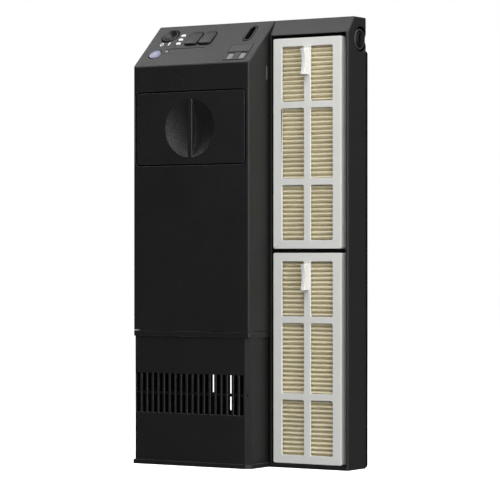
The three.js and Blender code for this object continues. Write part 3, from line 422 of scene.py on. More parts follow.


# the second colour of each row and its amount are painted along every edge: a paler colour as a painted
# highlight, and on whitePaint a darker one as painted shade
plasticKeys = ("color", "edgeLight", "edgeLightAmount", "grain", "depth", "roughness", "spread", "dust", "mottle",
               "specular")
plasticRows = {
    "casePlastic": (grey(0.0062), grey(0.15), 0.7, 1500.0, 0.00011, 0.47, 0.12, 0.012, 0.12, 0.5),
    "deckPlastic": (grey(0.012), grey(0.15), 0.7, 1500.0, 0.00011, 0.45, 0.1, 0.02, 0.15, 0.5),
    "whitePlastic": ((0.74, 0.745, 0.72, 1), (0.85, 0.85, 0.83, 1), 0.35, 1800.0, 0.00003, 0.42, 0.1, 0.0,
                     0.04, 0.5),
    "innerPlastic": (grey(0.035), grey(0.09), 0.4, 1500.0, 0.00004, 0.5, 0.12, 0.02, 0.2, 0.45),
    "sealRubber": (grey(0.012), grey(0.03), 0.3, 900.0, 0.00006, 0.82, 0.1, 0.03, 0.3, 0.3),
    "pottingResin": (grey(0.011), grey(0.05), 0.3, 500.0, 0.0001, 0.28, 0.15, 0.01, 0.25, 0.55),
    # the outlet collar's grey is lighter than the casing so that a bright ring shows round the outlet: partly
    # its own colour, partly a painted highlight
    "nozzlePlastic": (grey(0.045), grey(0.05), 0.5, 2400.0, 0.00003, 0.35, 0.1, 0.0, 0.1, 0.5),
    "shadowPlastic": (grey(0.0035), grey(0.012), 0.4, 2000.0, 0.00004, 0.5, 0.1, 0.0, 0.15, 0.25),
    "tabPlastic": (grey(0.07), grey(0.25), 0.4, 1800.0, 0.00003, 0.45, 0.1, 0.0, 0.1, 0.5),
    "ferriteMagnet": (grey(0.04), grey(0.15), 0.5, 3000.0, 0.00004, 0.42, 0.15, 0.0, 0.25, 0.5),
    "bushCeramic": ((0.82, 0.79, 0.72, 1), (0.9, 0.88, 0.84, 1), 0.3, 2200.0, 0.00002, 0.24, 0.1, 0.0, 0.06,
                    0.5),
    "circuitBoard": ((0.012, 0.085, 0.035, 1), (0.25, 0.22, 0.1, 1), 0.5, 700.0, 0.00005, 0.38, 0.2, 0.02,
                     0.35, 0.5),
    "whitePaint": ((0.83, 0.83, 0.82, 1), (0.7, 0.7, 0.7, 1), 0.3, 2500.0, 0.00002, 0.5, 0.1, 0.0, 0.08, 0.4),
}


def plastic(name, values):
    material, tree, shader, vector = startMaterial(name, Specular_IOR_Level=values["specular"])
    dust = useGroup(tree, "dustVeil", vector, Color=values["color"], Amount=values["dust"],
                    Mottle=values["mottle"])
    edgeLight = useGroup(tree, "paintedEdgeLight", vector, Color=dust.outputs["Color"], Rub_Color=values["edgeLight"],
                   Amount=values["edgeLightAmount"])
    grain = useGroup(tree, "mouldedGrain", vector, Grain=values["grain"], Depth=values["depth"],
                     Roughness=values["roughness"], Spread=values["spread"])
    feed(tree, shader, Base_Color=edgeLight.outputs["Color"], Roughness=grain.outputs["Roughness"],
         Normal=grain.outputs["Normal"])
    return material


paperValues = {"color": (0.74, 0.67, 0.47, 1), "fibre": (0.90, 0.85, 0.67, 1), "depth": 0.00006}


def pleatPaper():
    material, tree, shader, vector = startMaterial("pleatPaper", Roughness=0.88, Specular_IOR_Level=0.2,
                                                   Sheen_Weight=0.15, Subsurface_Weight=0.08)
    shader.inputs["Subsurface Radius"].default_value = (0.002, 0.0015, 0.001)
    fibre = useGroup(tree, "paperFibre", vector, Color=paperValues["color"], Fibre_Color=paperValues["fibre"],
                     Depth=paperValues["depth"])
    dust = useGroup(tree, "dustVeil", vector, Color=fibre.outputs["Color"], Amount=0.0, Mottle=0.1)
    feed(tree, shader, Base_Color=dust.outputs["Color"], Normal=fibre.outputs["Normal"])
    return material


# the darker second colour of each foam is painted shade in the pits
foamValues = {
    "filterFoam": {"color": (0.02, 0.035, 0.06, 1), "pitShade": (0.002, 0.004, 0.008, 1), "cells": 1100.0,
                   "depth": 0.0004},
    "mediaFoam": {"color": (0.62, 0.58, 0.5, 1), "pitShade": (0.2, 0.17, 0.12, 1), "cells": 700.0,
                  "depth": 0.0006},
}


def foam(name, values):
    material, tree, shader, vector = startMaterial(name, Roughness=0.95, Specular_IOR_Level=0.15)
    cells = useGroup(tree, "openCells", vector, Color=values["color"], Cell_Color=values["pitShade"],
                     Cells=values["cells"],
                     Depth=values["depth"])
    dust = useGroup(tree, "dustVeil", vector, Color=cells.outputs["Color"], Amount=0.02, Mottle=0.25)
    feed(tree, shader, Base_Color=dust.outputs["Color"], Normal=cells.outputs["Normal"])
    return material


def polishedSteel():
    material, tree, shader, vector = startMaterial("polishedSteel", Metallic=1.0)
    metal = useGroup(tree, "drawnMetal", vector, Roughness=0.28)
    # the paler edge colour on the steel is a painted highlight
    edgeLight = useGroup(tree, "paintedEdgeLight", vector, Color=(0.48, 0.49, 0.5, 1), Rub_Color=(0.65, 0.65, 0.66, 1),
                   Amount=0.5)
    feed(tree, shader, Base_Color=edgeLight.outputs["Color"], Roughness=metal.outputs["Roughness"],
         Normal=metal.outputs["Normal"])
    return material


# each rim colour is darker than its face and is painted round the edge as shade
lightValues = {
    "lensGlow": {"color": (0.21, 0.215, 0.31, 1), "rim": (0.10, 0.10, 0.17, 1), "glow": 0.04,
                 "roughness": 0.3},
    "levelGlow": {"color": (0.8, 0.82, 0.84, 1), "rim": (0.6, 0.62, 0.66, 1), "glow": 0.35,
                  "roughness": 0.25},
    "statusGlow": {"color": (0.2, 0.2, 0.21, 1), "rim": (0.16, 0.16, 0.17, 1), "glow": 0.02,
                   "roughness": 0.4},
    # the panes are no lamps: their faint glow is painted light
    "paneGlass": {"color": (0.14, 0.14, 0.142, 1), "rim": (0.07, 0.07, 0.075, 1), "glow": 0.01,
                  "roughness": 0.45},
}


def lightPlastic(name, values):
    material, tree, shader, vector = startMaterial(name, Coat_Weight=0.1, Coat_Roughness=0.2,
                                                   Emission_Strength=values["glow"])
    edgeLight = useGroup(tree, "paintedEdgeLight", vector, Color=values["color"], Rub_Color=values["rim"], Amount=0.6,
                   Radius=0.0006)
    dust = useGroup(tree, "dustVeil", vector, Color=edgeLight.outputs["Color"], Amount=0.01, Mottle=0.12)
    grain = useGroup(tree, "mouldedGrain", vector, Grain=900.0, Depth=0.00002, Roughness=values["roughness"],
                     Spread=0.08)
    feed(tree, shader, Base_Color=dust.outputs["Color"], Emission_Color=dust.outputs["Color"],
         Roughness=grain.outputs["Roughness"], Normal=grain.outputs["Normal"])
    return material


materials = {name: plastic(name, dict(zip(plasticKeys, row))) for name, row in plasticRows.items()}
materials.update({name: foam(name, values) for name, values in foamValues.items()})
materials.update({name: lightPlastic(name, values) for name, values in lightValues.items()})
materials["pleatPaper"] = pleatPaper()
materials["polishedSteel"] = polishedSteel()
print("materials:", len(materials))

# outlines drawn up through steps, in frames that lie on the casings' faces


def frameOn(origin, across, up, out):
    # a frame from the directions of its own x, y and z
    return Matrix.Translation(origin) @ Matrix((across, up, out)).transposed().to_4x4()


def shaped(name, centre, half, corner, steps, where=None, sides=48, cornerSteps=5):
    # steps are (growth, height) pairs; the outline is round where there is no corner radius
    growth, height = steps[0]
    if corner is None:
        bpy.ops.mesh.primitive_circle_add(vertices=sides, radius=1, fill_type="NGON",
                                          location=(*centre, height))
    else:
        bpy.ops.mesh.primitive_plane_add(size=2, location=(*centre, height))
    piece = bpy.context.object
    piece.name = name
    piece.scale = (half[0] + growth, half[1] + growth, 1)
    applyPlace(piece)
    startEdit(piece)
    bpy.ops.mesh.select_all(action="SELECT")
    if corner:
        bpy.ops.mesh.bevel(offset=corner, segments=cornerSteps, affect="VERTICES")
        bpy.ops.mesh.select_all(action="SELECT")
    for nextGrowth, nextHeight in steps[1:]:
        bpy.ops.mesh.extrude_region_move(TRANSFORM_OT_translate={"value": (0, 0, nextHeight - height)})
        share = [(side + nextGrowth) / (side + growth) for side in half]
        bpy.ops.transform.resize(value=(share[0], share[1], 1), center_override=(*centre, nextHeight))
        growth, height = nextGrowth, nextHeight
    bpy.ops.mesh.select_all(action="SELECT")
    bpy.ops.mesh.normals_make_consistent(inside=False)
    endEdit()
    if where is not None:
        piece.matrix_world = where
        applyPlace(piece)
    return piece


def holeSteps(depth, rim, count=3):
    # straight up, rounded out over the rim, and on through the surface
    lean = [math.radians(80) * i / count for i in range(count + 1)]
    arc = [(rim * (1 - math.cos(t)), -rim * (1 - math.sin(t))) for t in lean]
    return [(0, -depth)] + arc + [(rim + 0.02, 0.02), (rim + 0.02, 1)]


def lifted(steps, rise):
    return [(growth, height + rise) for growth, height in steps]


def crownSteps(bottom, top, edge, count=4):
    # straight up, then rounded in over the top edge
    lean = [math.pi / 2 * i / count for i in range(count + 1)]
    return [(0, bottom)] + [(-edge * (1 - math.cos(t)), top - edge * (1 - math.sin(t))) for t in lean]


def joinAll(pieces):
    # separate solids as one object, for a single cut
    selectOnly(pieces[0])
    for piece in pieces[1:]:
        piece.select_set(True)
    bpy.ops.object.join()
    return bpy.context.object


def cutPlane(piece, point, normal):
    # cuts off what lies beyond a plane, and closes the cut
    startEdit(piece)
    bpy.ops.mesh.select_all(action="SELECT")
    bpy.ops.mesh.bisect(plane_co=point, plane_no=normal, clear_outer=True, use_fill=True)
    endEdit()


def plainBox(name, low, high):
    return roundedBox(name, low, high)


def slopeOf(frontY, ridgeY, lowZ, highZ):
    # the slope's point, outward normal, angle and length
    run, rise = ridgeY - frontY, highZ - lowZ
    length = math.hypot(run, rise)
    return {"point": (0, frontY, lowZ), "normal": (0, -rise / length, run / length),
            "angle": math.atan2(rise, run), "length": length}


def insetPoint(slope, inset):
    return [p - n * inset for p, n in zip(slope["point"], slope["normal"])]


def onSlope(slope, co, reach=0.02):
    return abs(sum((c - p) * n for c, p, n in zip(co[1:], slope["point"][1:], slope["normal"][1:]))) < reach


# where everything stands, from the CAD nodes

towerLow, towerHigh = boxOf("tower_casing")
housingLow, housingHigh = boxOf("cartridge_housing")
baseLow, baseHigh = boxOf("intake_base")
coverLow, coverHigh = boxOf("back_cover")
doorLow, doorHigh = boxOf("drawer_front")
ductLow, ductHigh = boxOf("outlet_duct")
crossLow, crossHigh = boxOf("crossover_sleeve")
ringLow, ringHigh = boxOf("outlet_ring")
ductRadius = (ductHigh.y - ductLow.y) / 2
slopeValues = {"towerDrop": 29.5, "housingDrop": 10.7, "ridgeFromBack": 18.5}
ridgeY = coverHigh.y - slopeValues["ridgeFromBack"]
topZ = towerHigh.z
towerSlope = slopeOf(towerLow.y, ridgeY, topZ - slopeValues["towerDrop"], topZ)
housingSlope = slopeOf(housingLow.y, ridgeY, topZ - slopeValues["housingDrop"], topZ)
deckFrame = frameOn((towerLow.x, towerLow.y, topZ - slopeValues["towerDrop"]), (1, 0, 0),
                    (0, math.cos(towerSlope["angle"]), math.sin(towerSlope["angle"])), towerSlope["normal"])
frontFrame = frameOn((0, towerLow.y, 0), (1, 0, 0), (0, 0, 1), (0, -1, 0))
mouthFrame = frameOn((0, housingLow.y, 0), (1, 0, 0), (0, 0, 1), (0, -1, 0))
backFrame = frameOn((0, coverHigh.y, 0), (-1, 0, 0), (0, 0, 1), (0, 1, 0))
sideFrame = frameOn((housingHigh.x, 0, 0), (0, 1, 0), (0, 0, 1), (1, 0, 0))
towerSideFrame = frameOn((towerHigh.x, 0, 0), (0, 1, 0), (0, 0, 1), (1, 0, 0))

# control deck: sizes in the deck's own frame, across from the left and up the slope

deckValues = {
    "dial": (14.3, 10.9), "dialRadius": 6.2, "dialGap": 0.5, "dialWell": 6.0, "stemHole": 2.4,
    "keys": (36.0, 47.1), "keyFromRidge": 15.6, "keyTilt": 4.5, "keyHalf": (5.1, 6.7), "keyCorner": 2.6,
    "keyGap": 0.5, "keyRise": 1.8,
    "lens": (11.4, 13.0), "lensRadius": 4.3, "gap": 0.3,
    "levelX": 25.2, "levelPitch": 4.4, "levelHalf": (1.6, 0.9),
    "status": (19.7, 15.4), "statusHalf": (0.95, 1.2),
    "panelRight": 88.4, "panelHalf": (8.6, 8.0), "panelUp": 2.8, "panelDeep": 1.0,
    "paneHalf": (2.4, 3.3), "paneInsets": (3.4, 13.0), "paneUp": 0.7, "grooves": (8.15,),
    "cableX": 80.0, "cableFromRidge": 12.7, "cableHalf": (2.2, 6.8),
    "line": (33.75, 18.2), "lineHalf": (16.25, 0.28), "rim": 0.35,
    "zero": (11.7, 23.7), "one": (17.6, 24.2), "markHalf": (1.15, 1.65), "markLine": 0.55, "markRise": 0.12,
}
deckUp = towerSlope["length"]
dialAt = (deckValues["dial"][0], deckUp - deckValues["dial"][1])
keyUp = deckUp - deckValues["keyFromRidge"]
levelPlaces = [(deckValues["levelX"], keyUp + i * deckValues["levelPitch"]) for i in (-1, 0, 1)]
panelAt = (deckValues["panelRight"] - deckValues["panelHalf"][0],
           deckValues["panelUp"] + deckValues["panelHalf"][1])
panePlaces = [(deckValues["panelRight"] - inset,
               deckValues["panelUp"] + deckValues["paneUp"] + deckValues["paneHalf"][1])
              for inset in deckValues["paneInsets"]]
cableAt = (deckValues["cableX"], deckUp - deckValues["cableFromRidge"])


def grown(half, amount):
    return [side + amount for side in half]


def keyHole(x):
    v = deckValues
    return shaped("keyHole", (x, keyUp), grown(v["keyHalf"], v["keyGap"]), v["keyCorner"] + v["keyGap"],
                  holeSteps(5, v["rim"]), deckFrame)


def deckHoles():
    v = deckValues
    gap, rim = v["gap"], v["rim"]
    wellHalf = [v["dialRadius"] + v["dialGap"]] * 2
    stem = v["stemHole"] - wellHalf[0]
    holes = [
        shaped("dialHole", dialAt, wellHalf, None,
               [(stem, -9), (stem, -v["dialWell"])] + holeSteps(v["dialWell"], 0.5),
               deckFrame, 72),
        shaped("lensHole", v["lens"], [v["lensRadius"] + gap] * 2, None, holeSteps(4, 0.5), deckFrame, 56),
        shaped("statusHole", v["status"], grown(v["statusHalf"], gap), 0.5, holeSteps(4, 0.25), deckFrame),
        shaped("cableHole", cableAt, grown(v["cableHalf"], 1 + gap), v["cableHalf"][0] + 1, holeSteps(5, rim),
               deckFrame, 48, 8),
        shaped("panelHole", panelAt, grown(v["panelHalf"], gap), 0.8, holeSteps(v["panelDeep"] + gap, 0.25),
               deckFrame),
        shaped("lineGroove", v["line"], v["lineHalf"], 0.2, holeSteps(0.3, 0.15), deckFrame, 48, 2),
    ]
    holes.append(keyHole(v["keys"][0]))
    holes += [shaped("levelHole", place, grown(v["levelHalf"], gap), 0.5, holeSteps(4, 0.2), deckFrame)
              for place in levelPlaces]
    return holes


# tower casing

towerValues = {"wall": 2.2, "frontCorner": 1.7, "backCorner": 3.0, "topEdge": 0.8, "seamEdge": 0.3,
               "doorGap": 0.9,
               "doorLedge": 2.4, "doorCorner": 3.3, "doorDeep": 4.1, "collar": 1.4, "doorRim": 0.3,
               "openingLow": 3.0,
               "openingHigh": 275.3, "postHalf": 4.25, "postDeep": 14.0, "postBore": 1.6, "screwIn": 3.75,
               "screwLow": 9.0, "screwHigh": 270.0, "slotY": 21.75, "slotHalf": (0.95, 4.75),
               "slotLow": 259.5,
               "slotDeep": 1.1}


def upright(a, b):
    return abs(a.z - b.z) > 5 and abs(a.x - b.x) < 0.01 and abs(a.y - b.y) < 0.01


def makeShell(name, low, high, slope, corners, topEdge, seamEdge, lipEdge=None):
    # a box with a sloping top, its upright corners rounded, then the edges round its top and bottom
    piece = plainBox(name, low, high)
    cutPlane(piece, slope["point"], slope["normal"])
    for (x, y), radius in corners.items():
        bevelEdges(piece, lambda a, b: upright(a, b) and abs(a.x - x) < 0.1 and abs(a.y - y) < 0.1, radius, 5)
    lip = lambda a, b: abs(a.y - low.y) < 0.01 and abs(b.y - low.y) < 0.01
    onTop = lambda a: onSlope(slope, a) or abs(a.z - high.z) < 0.01
    if lipEdge:
        bevelEdges(piece, lambda a, b: onTop(a) and onTop(b) and not lip(a, b), topEdge, 3)
        bevelEdges(piece, lambda a, b: onTop(a) and onTop(b) and lip(a, b), lipEdge, 2)
    else:
        bevelEdges(piece, lambda a, b: onTop(a) and onTop(b), topEdge, 3)
    bevelEdges(piece, lambda a, b: abs(a.z - low.z) < 0.01 and abs(b.z - low.z) < 0.01, seamEdge, 2)
    return piece


def makePost(x, z, y0, y1):
    v = towerValues
    half = v["postHalf"]
    post = roundedBox("post", (x - half, y0, z - half), (x + half, y1, z + half))
    cutWith(post, rod("postBore", v["postBore"], y0 + 2.5, y1 + 1, (x, z), "y", 24))
    return post


def screwPlaces():
    v = towerValues
    wall = v["wall"]
    towerX = [towerLow.x + wall + v["screwIn"], towerHigh.x - wall - v["screwIn"]]
    blockX = [housingLow.x + housingValues["wall"] + v["screwIn"],
              housingHigh.x - housingValues["wall"] - v["screwIn"]]
    return ([(x, z) for z in (towerLow.z + v["screwLow"], v["screwHigh"]) for x in towerX],
            [(x, z) for z in (v["screwLow"], v["screwHigh"]) for x in blockX])


def makeTowerCasing():
    v = towerValues
    wall = v["wall"]
    low, high = towerLow, towerHigh
    corners = {(low.x, low.y): v["frontCorner"], (high.x, low.y): v["frontCorner"],
               (low.x, high.y): v["backCorner"],
               (high.x, high.y): 0.4}
    piece = makeShell("towerCasing", low, high, towerSlope, corners, v["topEdge"], v["seamEdge"])
    hollow = plainBox("hollow", (low.x + wall, low.y + wall, low.z - 1),
                      (high.x - wall, high.y - wall, high.z - wall))
    cutPlane(hollow, insetPoint(towerSlope, wall), towerSlope["normal"])
    opening = plainBox("opening", (low.x + wall, 0, low.z + v["openingLow"]),
                       (high.x - wall, high.y + 2, v["openingHigh"]))
    cutWith(piece, hollow, opening)
    grow = v["doorGap"] + v["collar"]
    collar = roundedBox("collar", (doorLow.x - grow, low.y + 0.5, doorLow.z - grow),
                        (doorHigh.x + grow, low.y + 5.6, doorHigh.z + grow), v["doorCorner"] + 1.4, "y", 5)
    well = shaped("well", dialAt, [deckValues["dialRadius"] + 1.9] * 2, None, [(0, -7), (0, -0.5)], deckFrame,
                  72)
    panelBack = shaped("panelBack", panelAt, grown(deckValues["panelHalf"], 1.4), 0.5, [(0, -3), (0, -0.5)],
                       deckFrame)
    joinWith(piece, collar, well, panelBack)
    posts = [makePost(x, z, coverLow.y - 0.3 - v["postDeep"], coverLow.y - 0.3) for x, z in screwPlaces()[0]]
    joinWith(piece, joinAll(posts))
    middle = ((doorLow.x + doorHigh.x) / 2, (doorLow.z + doorHigh.z) / 2)
    half = ((doorHigh.x - doorLow.x) / 2 + v["doorGap"], (doorHigh.z - doorLow.z) / 2 + v["doorGap"])
    inner = -v["doorLedge"] - v["doorGap"]
    doorway = shaped("doorway", middle, half, v["doorCorner"],
                     [(inner, -7), (inner, -v["doorDeep"])] + holeSteps(v["doorDeep"], v["doorRim"]),
                     frontFrame, 48, 8)
    sideSlot = shaped("sideSlot", (low.y + v["slotY"], v["slotLow"] + v["slotHalf"][1]), v["slotHalf"], 0.3,
                      holeSteps(v["slotDeep"], 0.15), towerSideFrame, 48, 2)
    crossover = roundedBox("crossover", (high.x - wall - 1, crossLow.y, crossLow.z),
                           (high.x + 1, crossHigh.y, crossHigh.z),
                           1, "x", 3)
    ductHole = rod("ductHole", ductRadius + 0.3, high.x - wall - 1, high.x + 1,
                   (outletPlace[1], outletPlace[2]), "x", 40)
    cutWith(piece, joinAll([doorway, sideSlot, crossover, ductHole] + deckHoles()))
    panes = [shaped("paneHole", place, grown(deckValues["paneHalf"], -0.6), 0.5, [(0, -6), (0, -1.0)],
                    deckFrame)
             for place in panePlaces]
    cutWith(piece, joinAll(panes + [keyHole(deckValues["keys"][1])]))
    return piece


# cartridge housing

housingValues = {"wall": 2.0, "corners": (0.6, 1.6, 3.0, 0.4), "topEdge": 0.8, "lipEdge": 0.25,
                 "seamEdge": 0.4,
                 "floor": 2.5, "mouthTop": 0.3, "seatFront": 8.3, "seatThick": 1.6, "window": 6.0, "tie": 1.0,
                 "outletRadius": 8.4, "outletRim": 0.5}
outletPlace = (housingHigh.x, (ringLow.y + ringHigh.y) / 2, (ringLow.z + ringHigh.z) / 2)


def makeCartridgeHousing():
    v = housingValues
    wall = v["wall"]
    low, high = housingLow, housingHigh
    corners = dict(zip(((low.x, low.y), (high.x, low.y), (high.x, high.y), (low.x, high.y)), v["corners"]))
    piece = makeShell("cartridgeHousing", low, high, housingSlope, corners, v["topEdge"], v["seamEdge"],
                      v["lipEdge"])
    hollow = plainBox("hollow", (low.x + wall, low.y + wall, low.z + v["floor"]),
                      (high.x - wall, high.y - wall, high.z - wall))
    cutPlane(hollow, insetPoint(housingSlope, wall), housingSlope["normal"])
    opening = plainBox("opening", (low.x + wall, 0, low.z + v["floor"]),
                       (high.x - wall, high.y + 2, towerValues["openingHigh"]))
    mouthTop = high.z - slopeValues["housingDrop"] - v["mouthTop"]
    seatY = low.y + v["seatFront"]
    centre = ((low.x + high.x) / 2, (low.z + v["floor"] + mouthTop) / 2)
    half = ((high.x - low.x) / 2 - wall, (mouthTop - low.z - v["floor"]) / 2)
    mouth = shaped("mouth", centre, half, 0, [(0, -v["seatFront"]), (0, 1)], mouthFrame)
    cutWith(piece, hollow, opening, mouth)
    seat = plainBox("seat", (low.x + wall - 0.5, seatY, low.z + v["floor"] - 0.5),
                    (high.x - wall + 0.5, seatY + v["seatThick"], high.z - 0.5))
    windows = []
    for which in ("lower", "upper"):
        frameLow, frameHigh = boxOf(f"{which}_cartridge_frame")
        third = (frameHigh.z - frameLow.z) / 3
        for i in range(3):
            z0 = frameLow.z + i * third + (v["window"] if i == 0 else v["tie"])
            z1 = frameLow.z + (i + 1) * third - (v["window"] if i == 2 else v["tie"])
            windows.append(roundedBox("window", (frameLow.x + v["window"], seatY - 1, z0),
                                      (frameHigh.x - v["window"], seatY + v["seatThick"] + 1, z1), 1, "y", 4))
    cutWith(seat, joinAll(windows))
    posts = [makePost(x, z, seatY + v["seatThick"] - 0.5, coverLow.y - 0.3) for x, z in screwPlaces()[1]]
    joinWith(piece, seat, joinAll(posts))
    crossover = roundedBox("crossover", (low.x - 1, crossLow.y, crossLow.z),
                           (low.x + wall + 1, crossHigh.y, crossHigh.z), 1, "x", 3)
    ductHole = rod("ductHole", ductRadius + 0.3, low.x - 1, low.x + wall + 1, outletPlace[1:], "x", 40)
    outletHole = shaped("outletHole", outletPlace[1:], [v["outletRadius"]] * 2, None,
                        holeSteps(high.x - ringLow.x + 0.3, v["outletRim"]), sideFrame, 80)
    cutWith(piece, joinAll([crossover, ductHole, outletHole]))
    return piece


# intake base

baseValues = {"inset": 1.0, "wall": 2.0, "flange": 3.7, "foot": 3.0, "chamfer": 3.3, "corner": 0.4,
              "edge": 0.3,
              "slotLow": 35.4, "slotHeight": 26.7, "slotPitch": 4.635, "slotHalf": 1.45, "slotLeft": 1.2,
              "slotRight": 4.5,
              "slotRim": 0.45, "bar": 1.0, "backPitch": 14.37, "backHalf": 1.0, "backShift": 1.65, "leg": 3.0,
              "legs": (1 / 3, 0.515), "ledge": 3.0}


def basePlan(name, x0, x1, y0, y1, z0, z1, inset=0.0):
    # a plan with larger chamfers on the housing's side
    v = baseValues
    piece = plainBox(name, (x0, y0, z0), (x1, y1, z1))
    bevelEdges(piece, lambda a,
               b: upright(a, b) and abs(a.x - x1) < 0.01 or abs(a.z - b.z) > 0.5 and abs(a.x - x1) < 0.01
               and abs(b.x - x1) < 0.01, v["chamfer"] - inset / 2, 1)
    bevelEdges(piece, lambda a, b: abs(a.z - b.z) > 0.5 and abs(a.x - x0) < 0.01 and abs(b.x - x0) < 0.01,
               v["corner"], 2)
    return piece


def makeIntakeBase():
    v = baseValues
    low, high = baseLow, baseHigh
    inset, thick = v["inset"], v["inset"] + v["wall"]
    piece = basePlan("intakeBase", low.x + inset, high.x - inset, low.y + inset, high.y - inset, low.z + 0.5,
                     high.z - 0.5)
    foot = basePlan("foot", low.x, high.x, low.y, high.y, low.z, low.z + v["foot"])
    softenEdges(foot, v["edge"], 2, 60)
    flange = plainBox("flange", (low.x, low.y, high.z - v["flange"]), high)
    radii = {(low.x, low.y): 1.6, (high.x, low.y): 1.6, (low.x, high.y): 3.0, (high.x, high.y): 0.4}
    for (x, y), radius in radii.items():
        bevelEdges(flange, lambda a, b: abs(a.z - b.z) > 1 and abs(a.x - x) < 0.1 and abs(a.y - y) < 0.1,
                   radius, 5)
    softenEdges(flange, v["edge"], 2, 60)
    joinWith(piece, foot, flange)
    room = (low.x + thick, high.x - thick, low.y + thick, high.y - thick)
    cutWith(piece, basePlan("hollow", *room, low.z + v["wall"], high.z + 1, v["wall"]))
    gridLow = boxOf("foam_grid")[0].z - 0.3
    ledge = basePlan("ledge", room[0] - 0.3, room[1] + 0.3, room[2] - 0.3, room[3] + 0.3, gridLow - 2,
                     gridLow)
    cutWith(ledge, plainBox("ledgeHole", (room[0] + v["ledge"], room[2] + v["ledge"], 0),
                            (room[1] - v["ledge"], room[3] - v["ledge"], high.z)))
    slotMiddle = v["slotLow"] + v["slotHeight"] / 2
    legTops = (gridLow, slotMiddle)
    legs = [roundedBox("leg", (low.x + (high.x - low.x) * share - v["leg"], -v["leg"],
                               low.z + v["wall"] - 0.5),
                       (low.x + (high.x - low.x) * share + v["leg"], v["leg"], top), 0.6, "z", 3)
            for share, top in zip(v["legs"], legTops)]
    joinWith(piece, ledge, joinAll(legs))
    count = int((high.x - low.x - v["slotLeft"] - v["slotRight"]) / v["slotPitch"])
    faceFrame = frameOn((0, low.y + inset, 0), (1, 0, 0), (0, 0, 1), (0, -1, 0))
    half = (v["slotHalf"], v["slotHeight"] / 2)
    slots = [shaped("slot", (low.x + v["slotLeft"] + (i + 0.5) * v["slotPitch"], slotMiddle), half, 0.3,
                    holeSteps(4, v["slotRim"])[:-1] + [(v["slotRim"] + 0.02, 0.5)], faceFrame, 48, 2)
             for i in range(count)]
    cutWith(piece, joinAll(slots))
    reach = (high.x - low.x) / 2 - v["backShift"] - v["chamfer"] - 2 * v["backHalf"]
    sideways = int(reach / v["backPitch"])
    rearFrame = frameOn((0, high.y - inset, 0), (-1, 0, 0), (0, 0, 1), (0, 1, 0))
    rear = [shaped("rearSlot", (-((low.x + high.x) / 2 + v["backShift"] + i * v["backPitch"]), slotMiddle),
                   (v["backHalf"], half[1]), 0.5, holeSteps(4, v["slotRim"]), rearFrame, 48, 3)
            for i in range(-sideways, sideways + 1)]
    cutWith(piece, joinAll(rear))
    joinWith(piece, plainBox("bar", (room[0] - 0.5, room[2] - 0.8, slotMiddle - v["bar"]),
                             (room[1] + 0.5, room[2] + 0.6, slotMiddle + v["bar"])))
    return piece


# back cover

coverValues = {"inset": 0.4, "corner": 2.0, "edge": 0.3, "plug": 3.0, "headHole": 3.1, "shankHole": 1.6,
               "panelIn": 10.0, "panelDeep": 0.35, "ribPitch": 6.0, "ribHalf": 1.4, "ribRows": 9,
               "ribDeep": 0.45}


def makeBackCover():
    v = coverValues
    low, high = coverLow, coverHigh
    plateY = towerHigh.y + 0.3
    towerPart = plainBox("backCover", (low.x, plateY, towerLow.z + 0.3), (towerHigh.x, high.y, high.z))
    housingPart = plainBox("housingPart", (towerHigh.x - 1, plateY, low.z), high)
    piece = towerPart
    joinWith(piece, housingPart)
    bevelEdges(piece, lambda a, b: abs(a.y - b.y) > 0.5 and (min(abs(a.x - low.x), abs(a.x - high.x)) < 0.01),
               v["corner"], 5)
    bevelEdges(piece, lambda a, b: a.y > high.y - 0.01 and b.y > high.y - 0.01, v["edge"], 2)
    wall, slip = towerValues["wall"], 0.3
    floor = low.z - 0.4 + housingValues["floor"]
    plugs = [plainBox("plug", (towerLow.x + wall + slip, low.y, towerLow.z + slip + v["plug"]),
                      (towerHigh.x - wall - slip, plateY + 0.2, high.z - v["plug"])),
             plainBox("plug", (housingLow.x + housingValues["wall"] + slip, low.y, floor + slip),
                      (housingHigh.x - housingValues["wall"] - slip, plateY + 0.2, high.z - v["plug"]))]
    joinWith(piece, joinAll(plugs))
    places = [place for group in screwPlaces() for place in group]
    heads = v["headHole"] - v["shankHole"]
    holes = [shaped("screwHole", (-x, z), [v["headHole"]] * 2, None,
                    [(-heads, -7), (-heads, -1.8)] + holeSteps(1.8, 0.25), backFrame, 40) for x, z in places]
    cutWith(piece, joinAll(holes))
    middles = [((towerLow.x + towerHigh.x) / 2, (towerHigh.x - towerLow.x) / 2 - v["panelIn"],
                towerLow.z + 22),
               ((housingLow.x + housingHigh.x) / 2, (housingHigh.x - housingLow.x) / 2 - v["panelIn"], 22)]
    ribs = []
    for x, reach, z0 in middles:
        for i in range(v["ribRows"]):
            ribs.append(shaped("rib", (-x, z0 + i * v["ribPitch"]), (reach, v["ribHalf"]), v["ribHalf"] - 0.1,
                               holeSteps(v["ribDeep"], 0.3), backFrame, 48, 4))
    cutWith(piece, joinAll(ribs))
    return piece


def fitCasing(piece, nodeName, low, high, slope=None):
    smoothShade(piece, 32)
    fit(piece, "casing", "casePlastic", "casing", nodeName)
    darkenInside(piece, low, high, slope)
    print("made", nodeName)


fitCasing(makeTowerCasing(), "tower_casing", towerLow, towerHigh, towerSlope)
fitCasing(makeCartridgeHousing(), "cartridge_housing", housingLow, housingHigh, housingSlope)
fitCasing(makeIntakeBase(), "intake_base", baseLow + Vector((1.2, 1.2, 0)), baseHigh - Vector((1.2, 1.2, -1)))
fitCasing(makeBackCover(), "back_cover", coverLow, coverHigh + Vector((0, 1, 0)))

# media drawer

drawerValues = {"corner": 2.4, "thick": 3.0, "edge": 0.35, "dishMargin": 4.5, "dishDepth": 5.0, "shell": 1.8,
                "rib": 3.4, "gapSkin": 0.2, "ribEdge": 0.6, "rim": 0.55, "stem": 2.2, "stemOut": 6.0}


